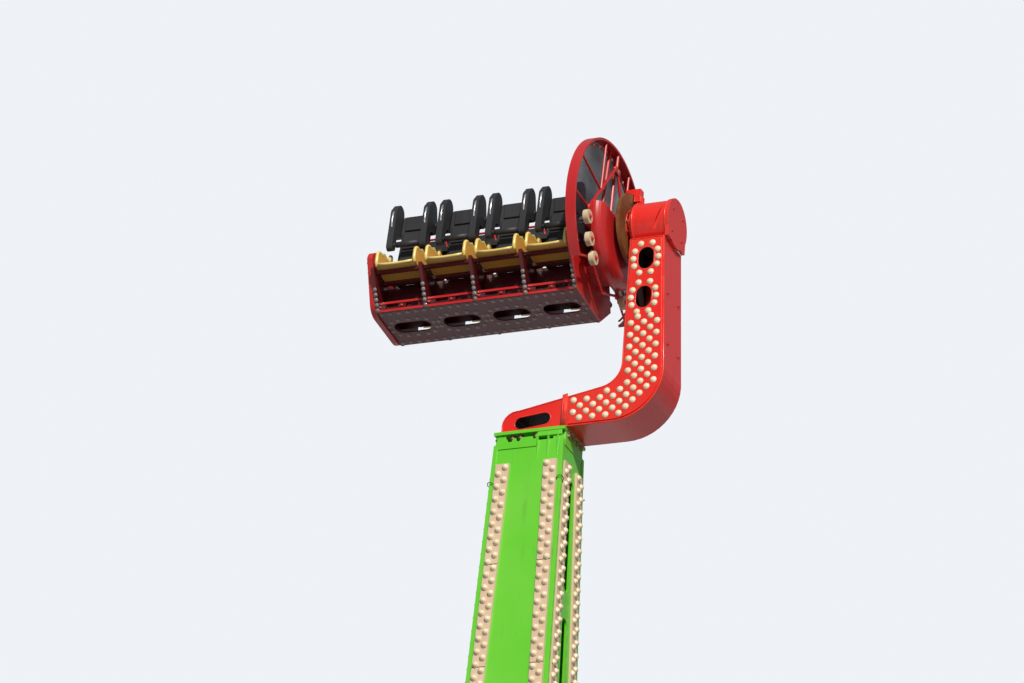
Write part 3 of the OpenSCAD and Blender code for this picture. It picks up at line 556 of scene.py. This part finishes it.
class RIDE_OT_arm_trim(bpy.types.Operator):
    """Bolts, gussets, plate edges, strip seams and cables at the arm's ends"""

    bl_idname = "ride.arm_trim"
    bl_label = "Arm trim"

    def execute(self, context):
        bolt = bolt_mesh(0.026, 0.045)
        # Notched upper edge of the face plate below the bolt recess, as (x, z) from the flange
        teeth = [(-0.345, -0.115), (-0.345, -0.20), (0.09, -0.20), (0.09, -0.115), (0.05, -0.115),
                 (0.04, -0.085), (-0.085, -0.085), (-0.10, -0.125), (-0.135, -0.125), (-0.15, -0.085),
                 (-0.175, -0.085), (-0.19, -0.125), (-0.235, -0.125), (-0.25, -0.09), (-0.275, -0.09),
                 (-0.29, -0.13)]
        tooth_t = 0.012
        # Path of a short cable round a corner, as steps from the corner along both faces and upwards
        bend = ((-0.047, 0.004, -0.01), (-0.03, 0.026, 0), (-0.002, 0.034, 0.015),
                (0.026, 0.026, 0.008), (0.034, -0.004, -0.01), (0.016, -0.03, -0.02),
                (0.002, -0.05, -0.024))
        for name, up in ENDS:
            green, bolts, cables, seams = bmesh.new(), bmesh.new(), bmesh.new(), bmesh.new()
            top = FLANGE_R - 0.035
            w, d = half_w(RECESS_R), half_d(RECESS_R)
            for face in SIDES:
                outline = [(x, FLANGE_R + z) for x, z in teeth]
                plate(green, outline, "y", face * (d + 0.001) - (tooth_t if face < 0 else 0), tooth_t)
                # Band and tapered ribs beside the recess
                low, high = sorted((face * (d - 0.05), face * (d + 0.012)))
                block(green, (0.095, low, top - 0.055), (0.37, high, top), 0.003)
                rib = [(-0.06, 0.02), (0.022, 0.02), (0.022, 0.12), (0.004, 0.42), (-0.02, 0.42)]
                for x in (0.098, 0.215, 0.325):
                    plate(green, [(face * (d + out), top - down) for out, down in rib], "x", x, 0.012)
                y = face * (d - 0.035)
                for x in (-0.30, -0.205, -0.115, 0.062):
                    stamp(bolts, bolt, aim((x, y, top + 0.002), (0, 0, -1)))
                    rod(bolts, (x, y, top - 0.02), (x, y, top - 0.085), 0.014, 8)
            for side in SIDES:
                for y in (-0.17, -0.06, 0.06, 0.17):
                    stamp(bolts, bolt, aim((side * (w + 0.012), y, top), (0, 0, -1)))
                low, high = sorted((side * (w - 0.02), side * (w + 0.012)))
                block(green, (low, -0.24, top - 0.16), (high, 0.24, top - 0.002), 0.004)
            # Seams across the light strips
            r = 9.62 - SEAM_STEP
            while r > 1.2:
                w, d = half_w(r), half_d(r)
                for side, face in CORNERS:
                    middle, out = side * (w - STRIP_INSET), face * (d + STRIP_FACE)
                    block(seams, (middle - STRIP_HALF, out - 0.004, r - SEAM_HALF),
                          (middle + STRIP_HALF, out + 0.002, r + SEAM_HALF))
                    middle, out = side * (d - STRIP_INSET), face * (w + STRIP_FACE)
                    block(seams, (out - 0.004, middle - STRIP_HALF, r - SEAM_HALF),
                          (out + 0.002, middle + STRIP_HALF, r + SEAM_HALF))
                r -= SEAM_STEP
            for r in (9.40, 4.18):
                w, d = half_w(r), half_d(r)
                for side, face in CORNERS:
                    tube(cables, [(side * (w + u), face * (d + v), r + step) for u, v, step in bend], 0.005, 6)
            new_piece(name + "_arm_gussets", green, end_frame(up), "arm", M["green"])
            new_piece(name + "_arm_bolts", bolts, end_frame(up), "arm", M["bolt"])
            new_piece(name + "_arm_links", cables, end_frame(up), "arm", M["cable"], True)
            new_piece(name + "_strip_seams", seams, end_frame(up), "arm", M["dark"])
        return {"FINISHED"}


class RIDE_OT_yoke_lamps(bpy.types.Operator):
    """Staggered lamps on the yoke's panels, with a ring round each opening"""

    bl_idname = "ride.yoke_lamps"
    bl_label = "Yoke lamps"

    def execute(self, context):
        s = context.scene.ride_sizes
        lamp = lamp_mesh(s.lamp_radius, s.lamp_radius * 0.55)
        ring = [(0.065, 0.172), (0.128, 0.088), (0.142, 0.0), (0.128, -0.088), (0.065, -0.172)]
        ring += [(-x, z) for x, z in ring]
        room = yoke_outline(PANEL_EDGE + s.lamp_radius + 0.004)
        spots = [(PORT_X + x, port_z + z) for port_z in PORT_ZS for x, z in ring]
        # The lattice spreads from this lamp, and stays below the openings
        first_x, first_z, lattice_top = 0.467, 0.292, 1.20
        for i in range(0, 14):
            for j in range(-16, 5):
                spot = (first_x + i * s.lattice_x / 2, first_z - j * s.lattice_z / 2)
                if (i + j) % 2 == 0 and inside(spot, room) and spot[1] < lattice_top:
                    spots.append(spot)
        for name, up in ENDS:
            bm = bmesh.new()
            for x, z in spots:
                for face in SIDES:
                    stamp(bm, lamp, aim((x, face * (YOKE_D / 2 + PANEL_T - 0.001), z), (0, face, 0)))
            new_piece(name + "_yoke_lamps", bm, flange_frame(up), "arm", M["lamp"], True)
        return {"FINISHED"}


class RIDE_OT_yoke_trim(bpy.types.Operator):
    """Edge beads, rib plates, opening rims, rings and bolts of the yoke, and a dark sheet of painted shade
    inside it
    """

    bl_idname = "ride.yoke_trim"
    bl_label = "Yoke trim"

    def execute(self, context):
        bolt = bolt_mesh(0.012, 0.010)
        tilt = Matrix.Translation((FOOT_HOLE[0], 0, FOOT_HOLE[1])) @ Matrix.Rotation(-FOOT_HOLE_TILT, 4, "Y")
        for name, up in ENDS:
            red, bolts, shade_sheet = bmesh.new(), bmesh.new(), bmesh.new()
            rise = SPINDLE_RISE
            for face in SIDES:
                y = face * YOKE_D / 2
                edge = [(x, y, z) for x, z in yoke_outline(0.008)]
                tube(red, edge, 0.009, 6, closed=True)
                # Rib plates beside the seam of the foot
                outer = y + face * 0.012
                low, high = sorted((y - face * 0.002, outer))
                plate(red, [(0.330, 0.03), (0.392, 0.03), (0.392, 0.385), (0.338, 0.373)], "y", low, high - low)
                for x in (0.345, 0.378):
                    rod(red, (x, outer, 0.035), (x + 0.002, outer, 0.365), 0.005, 6)
                # Rims of the openings
                for z in PORT_ZS:
                    loop = arc((PORT_MIDDLE, z + 0.04), 0.096, 0, 180, 10)
                    loop += arc((PORT_MIDDLE, z - 0.04), 0.096, 180, 360, 10)
                    tube(red, [(x, y + face * 0.010, v) for x, v in loop], 0.007, 6, closed=True)
                loop = arc((0.1325, 0), 0.0725, -90, 90, 8) + arc((-0.1325, 0), 0.0725, 90, 270, 8)
                tube(red, [tilt @ Vector((u, y, v)) for u, v in loop], 0.006, 6, closed=True)
            # Rings on the housing and the neck
            for x, r in ((0.985, 0.266), (1.36, 0.268), (0.90, 0.206), (0.972, 0.206)):
                tube(red, [(x, y, rise + z) for y, z in circle(r, 32)], 0.010, 6, closed=True)
            # Bolts in the outer skin and round the neck
            for x, y, z in ((1.41, 0.14, 0.12), (1.41, 0.14, -0.14), (yoke_back(-0.9), 0.16, -0.9),
                            (yoke_back(-1.5), 0.16, -1.5)):
                for side in SIDES:
                    stamp(bolts, bolt, aim((x, side * y, rise + z), (1, 0, 0)))
            for y, z in circle(0.225, 12):
                stamp(bolts, bolt, aim((0.924, y, rise + z), (-1, 0, 0)))
            # Dark sheet along the inner walls, seen through the openings: painted shade for the inside of the
            # hollow yoke
            loops = []
            for inset, y in ((0.021, -0.228), (0.021, 0.228), (0.024, 0.228), (0.024, -0.228)):
                corners = [shade_sheet.verts.new((x, y, z)) for x, z in yoke_outline(inset)]
                loops.append([shade_sheet.edges.new(pair) for pair in zip(corners, corners[1:] + corners[:1])])
            for first, second in zip(loops, loops[1:] + loops[:1]):
                bmesh.ops.bridge_loops(shade_sheet, edges=first + second)
            new_piece(name + "_yoke_shade_sheet", shade_sheet, flange_frame(up), "arm", M["dark"])
            new_piece(name + "_yoke_trim", red, flange_frame(up), "arm", M["red"], True)
            new_piece(name + "_yoke_bolts", bolts, flange_frame(up), "arm", M["gondola"])
        return {"FINISHED"}


class RIDE_OT_hull_lamps(bpy.types.Operator):
    """Unlit lamps along the hull's edges, round its openings and on the end shell"""

    bl_idname = "ride.hull_lamps"
    bl_label = "Hull lamps"

    def execute(self, context):
        s = context.scene.ride_sizes
        lamp = lamp_mesh(s.hull_lamp_radius, s.hull_lamp_radius * 0.6)
        row_y, lamp_z, window_u, window_r, rib_lamps = 0.29, HULL_LOW + 0.001, 0.115, 0.155, 5
        rib_y, rib_out, rib_rise = 0.335, 0.165, 0.23
        for name, up in ENDS:
            bm = bmesh.new()
            x = HULL_X0 + 0.045
            while x < HULL_END_X - 0.03:
                for side in SIDES:
                    stamp(bm, lamp, aim((x, side * row_y, lamp_z), (0, 0, -1)))
                x += s.hull_lamp_pitch
            for centre in SEAT_XS:
                right, left = (centre + window_u, 0), (centre - window_u, 0)
                loop = arc(right, window_r, -90, 90, 5) + [(centre, window_r)]
                loop += arc(left, window_r, 90, 270, 5) + [(centre, -window_r)]
                for x, y in loop:
                    stamp(bm, lamp, aim((x, y, lamp_z), (0, 0, -1)))
            # Up the cross ribs' sloping edges
            for i in range(SEATS + 1):
                x = HULL_END_X - i * SEAT_PITCH
                x += -0.018 if i == 0 else 0.018 if i == SEATS else 0.0
                for side in SIDES:
                    for step in range(rib_lamps):
                        t = (step + 0.5) / rib_lamps
                        y, z = rib_y + t * rib_out, HULL_LOW + t * rib_rise
                        stamp(bm, lamp, aim((x, side * (y + 0.002), z - 0.002), (0, side * 0.81, -0.58)))
            # Round the end shell
            shell = arc((0.24, -0.74), 0.18, -25, -90, 4) + arc((-0.24, -0.74), 0.18, -90, -155, 4)
            for i in range(5):
                y, z = 0.62 - 0.215 * i / 4, -0.39 - 0.42 * i / 4
                shell += [(y, z), (-y, z)]
            for y, z in shell:
                inner = Vector((0, y * 0.93, -0.55 + (z + 0.55) * 0.92))
                stamp(bm, lamp, aim((HULL_X0 - 0.059, inner.y, inner.z), (-1, 0, 0)))
            gondola_piece(name, up, "hull_lamps", bm, M["lamp_grey"], True)
        return {"FINISHED"}


class RIDE_OT_seat_trim(bpy.types.Operator):
    """Lips with a yellow painted highlight, red edging and moulded back pads of the seats"""

    bl_idname = "ride.seat_trim"
    bl_label = "Seat trim"

    def execute(self, context):
        front, lip_x, lip_r, front_r, back = 0.64, 0.221, 0.019, 0.016, 0.225
        sag = [(u, -0.475 - 0.012 * math.cos(u / 0.22 * math.pi / 2)) for u in (-0.2, -0.1, 0.0, 0.1, 0.2)]
        edge_half = [(0.158, -0.40), (0.158, 0.25), (0.13, 0.335), (0.06, 0.372)]
        edge_loop = [(-u, z) for u, z in edge_half] + edge_half[::-1]
        # Each pad's lower and upper end and half its width
        pad_sizes = ((-0.40, -0.10, 0.125), (-0.085, 0.13, 0.120), (0.15, 0.33, 0.105))
        # A lip runs down from the back, along the pan's side and round the front edge; its yellow is a painted
        # sunlit highlight
        lip = arc((-0.325, -0.21), 0.033, 60, 110, 3)
        lip += arc((-front + 0.25, -0.09), 0.187, -78, -118, 5)
        lip += arc((-front + 0.062, -0.355), 0.060, 60, 180, 6)
        lip += arc((-front + 0.06, -0.43), 0.058, 180, 245, 4)
        for name, up in ENDS:
            lips, pads, edging = bmesh.new(), bmesh.new(), bmesh.new()
            for side in SIDES:
                for x in SEAT_XS:
                    for wing in SIDES:
                        tube(lips, [(x + wing * lip_x, -side * y, z) for y, z in lip], lip_r, 8)
                    tube(lips, [(x + u, side * (front - 0.005), z) for u, z in sag], front_r, 8)
                    # Moulded back pad and headrest, proud of the plain back
                    face = side * 0.292
                    low, high = sorted((face, face + side * 0.022))
                    for z0, z1, w in pad_sizes:
                        block(pads, (x - w, low, z0), (x + w, high, z1), 0.010)
                    # Red edging behind each back
                    tube(edging, [(x + u, side * back, z) for u, z in edge_loop], 0.013, 8)
            gondola_piece(name, up, "seat_lips", lips, M["lip"], True)
            gondola_piece(name, up, "back_mouldings", pads, M["black"])
            gondola_piece(name, up, "back_edging", edging, M["gondola"], True)
        return {"FINISHED"}


class RIDE_OT_restraint_trim(bpy.types.Operator):
    """Handles, hinge caps and lap bar sleeves of the restraints"""

    bl_idname = "ride.restraint_trim"
    bl_label = "Restraint trim"

    def execute(self, context):
        fin_x, bar_y, bar_z, cap_half, sleeve_half = 0.195, 0.18, -0.31, 0.037, 0.13
        # A handle as steps (y, z) from the hinge
        grip = ((0.19, 0.12), (0.212, 0.115), (0.232, 0.085), (0.236, 0.01),
                (0.232, -0.06), (0.212, -0.095), (0.188, -0.10))
        for name, up in ENDS:
            for row, side in (("front", -1), ("rear", 1)):
                steel, black = bmesh.new(), bmesh.new()
                for x in SEAT_XS:
                    for wing in SIDES:
                        fx, y, z = x + wing * fin_x, side * HINGE_Y, HINGE_Z
                        tube(steel, [(fx, y + side * u, z + v) for u, v in grip], 0.011, 8)
                        rod(black, (fx - cap_half, y, z), (fx + cap_half, y, z), 0.034, 14)
                    y, z = side * (HINGE_Y + bar_y), HINGE_Z + bar_z
                    rod(black, (x - sleeve_half, y, z), (x + sleeve_half, y, z), 0.033, 12)
                place = gondola_frame(up)
                body = "%s_%s_bars" % (name, row)
                for kind, bm, slot, finish in (("handles", steel, None, "steel"),
                                               ("sleeves", black, "restraint_black", "black")):
                    new_piece("%s_%s_%s" % (name, row, kind), bm, place, body, M[finish], True)
        return {"FINISHED"}


class RIDE_OT_wheel_trim(bpy.types.Operator):
    """Small lamps and a bead inside the wheel's rim, gusset discs, and hubs of the rollers"""

    bl_idname = "ride.wheel_trim"
    bl_label = "Wheel trim"

    def execute(self, context):
        s = context.scene.ride_sizes
        lamp = lamp_mesh(s.wheel_lamp_radius, s.wheel_lamp_radius * 1.1)
        bolt = bolt_mesh(0.014, 0.014)
        lamp_ring, bead_ring, roller_ring = 0.965, 0.968, 0.76
        hub_x0, hub_x1 = WHEEL_X + RIM_W + 0.003, WHEEL_X + RIM_W + 0.066
        disc_x0, disc_x1 = WHEEL_X + 0.072, WHEEL_X + 0.107
        for name, up in ENDS:
            lamps, red, hubs = bmesh.new(), bmesh.new(), bmesh.new()
            for y, z in arc((0, 0), lamp_ring, 90 - 12 * 10.6, 90 + 12 * 10.6, 24):
                stamp(lamps, lamp, aim((WHEEL_X + 0.012, y, z), (1, 0, 0)))
            tube(red, [(WHEEL_X + 0.006, y, z) for y, z in arc((0, 0), bead_ring, -44, 224, 60)], 0.012, 6)
            for y, z in ((0.6, -0.06), (0.27, -0.38), (0.39, -0.56), (0.04, 0.8)):
                for side in SIDES:
                    rod(red, (disc_x0, side * y, z), (disc_x1, side * y, z), 0.036, 12)
            for side in SIDES:
                for degrees in (20, 38, 54):
                    a = math.radians(degrees)
                    y, z = -side * roller_ring * math.cos(a), -roller_ring * math.sin(a)
                    rod(hubs, (hub_x0, y, z), (hub_x1, y, z), 0.030, 12)
                    stamp(hubs, bolt, aim((hub_x1, y, z), (1, 0, 0)))
            gondola_piece(name, up, "wheel_lamps", lamps, M["lamp"], True)
            gondola_piece(name, up, "wheel_gussets", red, M["gondola"], True)
            gondola_piece(name, up, "roller_hubs", hubs, M["gondola"])
        return {"FINISHED"}


class RIDE_OT_hull_trim(bpy.types.Operator):
    """Side bar plates, and bolts of the hull and the end casing"""

    bl_idname = "ride.hull_trim"
    bl_label = "Hull trim"

    def execute(self, context):
        bolt = bolt_mesh(0.012, 0.012)
        bar_y, bar_t, casing_ring = 0.33, 0.012, 0.175
        casing_face = WHEEL_X + RIM_W + 0.1525
        for name, up in ENDS:
            red, dark = bmesh.new(), bmesh.new()
            for side in SIDES:
                # Bright plates along the side bar, above and below its bolts
                low, high = sorted((side * bar_y, side * (bar_y + bar_t)))
                for bottom, top in ((-0.80, -0.772), (-0.897, -0.868)):
                    block(red, (HULL_X0 + 0.02, low, bottom), (HULL_END_X - 0.02, high, top), 0.003)
                for x in SEAT_XS:
                    for u in (-0.26, 0.0, 0.26):
                        stamp(dark, bolt, aim((x + u, side * (bar_y + bar_t), -0.834), (0, side, 0)))
            for y, z in circle(casing_ring, 24):
                if abs(y) < casing_ring * 0.9 or z < 0:
                    stamp(dark, bolt, aim((casing_face, y, z), (1, 0, 0)))
            gondola_piece(name, up, "side_bars", red, M["gondola"])
            gondola_piece(name, up, "hull_bolts", dark, M["gondola"])
        return {"FINISHED"}


class RIDE_OT_mast_trim(bpy.types.Operator):
    """Bolts, hatch, welds and rings of the mast, its housing, the motors and the base"""

    bl_idname = "ride.mast_trim"
    bl_label = "Mast trim"

    def execute(self, context):
        bolt = bolt_mesh(0.035, 0.04)
        bolts, green, dark = bmesh.new(), bmesh.new(), bmesh.new()
        for x, radius in ((-0.52, 0.66), (1.94, 0.63)):
            for y, z in circle(radius, 24):
                stamp(bolts, bolt, aim((x, y, HUB_Z + z), (-1, 0, 0)))
        for side in SIDES:
            for t in (-1.0, -0.6, -0.2, 0.2, 0.6, 1.0):
                for x, y in ((side * 0.56, t * 0.68), (t * 0.52, side * 0.80)):
                    stamp(bolts, bolt, aim((MAST_X + x, y, MAST_FOOT), (0, 0, 1)))
        feet = [(x, s * 0.55) for x in (-3.92, -2.1, 3.92) for s in SIDES]
        feet += [(MAST_X + s * 0.5, t * 4.22) for s in SIDES for t in SIDES]
        for foot_x, foot_y in feet:
            for x, y in circle(0.19, 4, 0.5):
                stamp(bolts, bolt, aim((foot_x + x, foot_y + y, 0.03), (0, 0, 1)))
        # Hatch with its frame and handle on the mast's free side
        slope = MAST_TAPER[0] / MAST_H
        x = MAST_X - MAST_HALF[0] - 0.008
        frame_line = [(0.4, -0.36, 0.9), (2.2, -0.36, 2.7), (2.2, 0.36, 2.7), (0.4, 0.36, 0.9)]
        tube(green, [(x + slope * rise, y, z) for rise, y, z in frame_line], 0.02, 6, closed=True)
        rod(dark, (x, 0.27, 1.72), (x, 0.27, 1.92), 0.012, 8)
        for z in (1.1, 2.45):
            lean = x + slope * (z - MAST_FOOT)
            rod(dark, (lean, -0.37, z - 0.08), (lean, -0.37, z + 0.08), 0.022, 10)
        # Weld beads where the mast's plates join
        for z in (4.5, 8.5, 12.4):
            t = (z - MAST_FOOT) / MAST_H
            w, d = [half - taper * t + 0.002 for half, taper in zip(MAST_HALF, MAST_TAPER)]
            square = ((-1, -1), (1, -1), (1, 1), (-1, 1))
            tube(green, [(MAST_X + u * w, v * d, z) for u, v in square], 0.012, 6, closed=True)
        new_piece("mast_bolts", bolts, Matrix(), "root", M["bolt"])
        new_piece("mast_welds", green, Matrix(), "root", M["green"], True)
        new_piece("mast_hatch_fittings", dark, Matrix(), "root", M["motor_grey"], True)
        return {"FINISHED"}


class RIDE_OT_stage(bpy.types.Operator):
    """Pale floor, soft light and the camera at the photograph's angle"""

    bl_idname = "ride.stage"
    bl_label = "Stage"

    def execute(self, context):
        scene = context.scene
        s = scene.ride_stage
        bm = bmesh.new()
        bmesh.ops.create_grid(bm, x_segments=1, y_segments=1, size=1500)
        mesh = bpy.data.meshes.new("floor")
        bm.to_mesh(mesh)
        bm.free()
        floor = bpy.data.objects.new("floor", mesh)
        scene.collection.objects.link(floor)
        material, tree, shader, vector = new_material("Pale floor")
        patches = ramp(tree, noise(tree, vector, 0.3, 4.0), 0.3, 0.7)
        pale = mix(tree, patches, (0.78, 0.79, 0.80, 1), (0.82, 0.83, 0.84, 1))
        ray = tree.nodes.new("ShaderNodeLightPath")
        direct = maths(tree, "MAXIMUM", ray.outputs["Is Camera Ray"], ray.outputs["Is Glossy Ray"])
        lit = mix(tree, direct, (0.2, 0.2, 0.21, 1), pale)
        fill(tree, shader, {"Base Color": lit, "Roughness": 0.8})
        mesh.materials.append(material)

        world = bpy.data.worlds.new("Studio")
        scene.world = world
        world.use_nodes = True
        sky = world.node_tree
        nodes, links = sky.nodes, sky.links
        nodes.clear()
        out = nodes.new("ShaderNodeOutputWorld")
        seen, light = nodes.new("ShaderNodeBackground"), nodes.new("ShaderNodeBackground")
        choose = nodes.new("ShaderNodeMixShader")
        fill(sky, seen, {"Color": (0.86, 0.89, 0.93, 1)})
        fill(sky, light, {"Color": (0.80, 0.88, 1.0, 1), "Strength": s.sky_light})
        path = nodes.new("ShaderNodeLightPath")
        rays = path.outputs["Is Camera Ray"], path.outputs["Is Transmission Ray"]
        links.new(maths(sky, "MAXIMUM", *rays), choose.inputs[0])
        links.new(light.outputs[0], choose.inputs[1])
        links.new(seen.outputs[0], choose.inputs[2])
        links.new(choose.outputs[0], out.inputs["Surface"])

        sun = bpy.data.lights.new("key", "SUN")
        sun.energy = s.key_light
        sun.color = (1.0, 0.95, 0.88)
        sun.angle = math.radians(3)
        key = bpy.data.objects.new("key", sun)
        key.rotation_mode = "QUATERNION"
        key.rotation_quaternion = Vector((0.42, -0.72, 0.55)).to_track_quat("Z", "Y")
        scene.collection.objects.link(key)

        azimuth, elevation, roll = s.azimuth, s.elevation, s.roll
        flat = math.cos(elevation)
        back = Vector((math.sin(azimuth) * flat, -math.cos(azimuth) * flat, math.sin(elevation)))
        level = Vector((math.cos(azimuth), math.sin(azimuth), 0))
        upright = back.cross(level)
        right = math.cos(roll) * level + math.sin(roll) * upright
        up = math.cos(roll) * upright - math.sin(roll) * level
        centre = Vector((ARM_X, 0, HUB_Z + FLANGE_R + SPINDLE_RISE)) + s.aim_right * right + s.aim_up * up
        camera = bpy.data.objects.new("camera", bpy.data.cameras.new("camera"))
        camera.data.lens = s.lens
        camera.data.sensor_width = 36.0
        camera.data.clip_start, camera.data.clip_end = 1.0, 3000.0
        turn = Matrix((right, up, back)).transposed()
        camera.matrix_world = Matrix.Translation(centre + back * s.distance) @ turn.to_4x4()
        scene.collection.objects.link(camera)
        scene.camera = camera
        scene.view_settings.view_transform = "Standard"
        return {"FINISHED"}


def length(label, words, value):
    """A length that a user may change."""
    return FloatProperty(name=label, description=words, default=value, unit="LENGTH")


def colour(label, words, value):
    """A colour that a user may change."""
    return FloatVectorProperty(name=label, description=words, default=value, subtype="COLOR", size=3,
                               min=0, max=1)


class RideSizes(bpy.types.PropertyGroup):
    """Sizes of the lamps"""

    lamp_radius: length("Lamp radius", "Radius of a lamp on the arm and the yoke", 0.033)
    strip_pitch: length("Strip pitch", "Step from one lamp to the next along a light strip", 0.0725)
    lattice_x: length("Panel pitch across", "Distance between lamps of one row on the yoke", 0.1476)
    lattice_z: length("Panel pitch upwards", "Distance between lamps of one column on the yoke", 0.138)
    hull_lamp_radius: length("Hull lamp radius", "Radius of a lamp under the hull", 0.022)
    hull_lamp_pitch: length("Hull lamp pitch", "Distance between lamps along the hull's edges", 0.1)
    wheel_lamp_radius: length("Wheel lamp radius", "Radius of a lamp inside the wheel's rim", 0.018)


class RideColours(bpy.types.PropertyGroup):
    """Colours of the finishes"""

    green: colour("Arm green", "Paint of the arm and the mast", (0.115, 0.64, 0.018))
    red: colour("Yoke red", "Paint of the yokes", (0.83, 0.012, 0.006))
    # Gondola red: the gondola's paint, made somewhat darker as painted shade
    gondola: colour("Gondola red", "Paint of wheels, casings and shells, a little darkened as painted shade", (0.52, 0.005, 0.010))
    # Hull red: the hull's paint, darkened further as painted shade
    hull: colour("Hull red", "Paint of the hulls, darkened as painted shade", (0.075, 0.003, 0.006))
    seat: colour("Seat amber", "Moulded seat buckets", (0.72, 0.36, 0.045))
    strip: colour("Strip cream", "Moulded light strips", (0.70, 0.50, 0.34))
    lamp: colour("Lamp cream", "Caps of the lamps", (0.94, 0.80, 0.56))
    unlit_lamp: colour("Hull lamp grey", "Caps of the lamps under the hulls", (0.30, 0.26, 0.25))


class RideStage(bpy.types.PropertyGroup):
    """Light and camera"""

    azimuth: FloatProperty(name="Azimuth", description="Camera's turn round the ride",
                           default=math.radians(24.5), subtype="ANGLE")
    elevation: FloatProperty(name="Elevation", description="Camera's height angle",
                             default=math.radians(-26.0), subtype="ANGLE")
    roll: FloatProperty(name="Roll", description="Camera's roll", default=math.radians(4.5), subtype="ANGLE")
    distance: length("Distance", "From the camera to the upper gondola", 48.0)
    lens: FloatProperty(name="Lens", description="Focal length in millimetres", default=156.9)
    aim_right: length("Aim right", "Aim beside the spindle axis", -0.462)
    aim_up: length("Aim up", "Aim above the spindle axis", -1.091)
    key_light: FloatProperty(name="Key light", description="Strength of the key light", default=3.4)
    sky_light: FloatProperty(name="Sky light", description="Strength of the light from all round",
                             default=0.28)


PARTS = (RIDE_OT_finishes, RIDE_OT_arm_lamps, RIDE_OT_arm_trim, RIDE_OT_yoke_lamps, RIDE_OT_yoke_trim,
         RIDE_OT_hull_lamps, RIDE_OT_seat_trim, RIDE_OT_restraint_trim, RIDE_OT_wheel_trim, RIDE_OT_hull_trim,
         RIDE_OT_mast_trim, RIDE_OT_stage)


class RIDE_PT_panel(bpy.types.Panel):
    """Lists the ride's sizes, colours and steps"""

    bl_idname = "RIDE_PT_panel"
    bl_label = "Ride"
    bl_space_type = "VIEW_3D"
    bl_region_type = "UI"
    bl_category = "Ride"

    def draw(self, context):
        for group in (context.scene.ride_sizes, context.scene.ride_colours, context.scene.ride_stage):
            box = self.layout.box()
            for name in group.__annotations__:
                box.prop(group, name)
        for part in PARTS:
            self.layout.operator(part.bl_idname)


CLASSES = (RideSizes, RideColours, RideStage) + PARTS + (RIDE_PT_panel,)
GROUPS = {"ride_sizes": RideSizes, "ride_colours": RideColours, "ride_stage": RideStage}


def register():
    """Registers the classes and the scene's settings."""
    for item in CLASSES:
        bpy.utils.register_class(item)
    for name, kind in GROUPS.items():
        setattr(bpy.types.Scene, name, PointerProperty(type=kind))


def unregister():
    """Removes what register() added."""
    for name in GROUPS:
        delattr(bpy.types.Scene, name)
    for item in reversed(CLASSES):
        bpy.utils.unregister_class(item)


def main():
    """Builds the dressing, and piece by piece."""
    register()
    for part in PARTS:
        space, name = part.bl_idname.split(".")
        getattr(getattr(bpy.ops, space), name)()


if __name__ == "__main__":
    main()
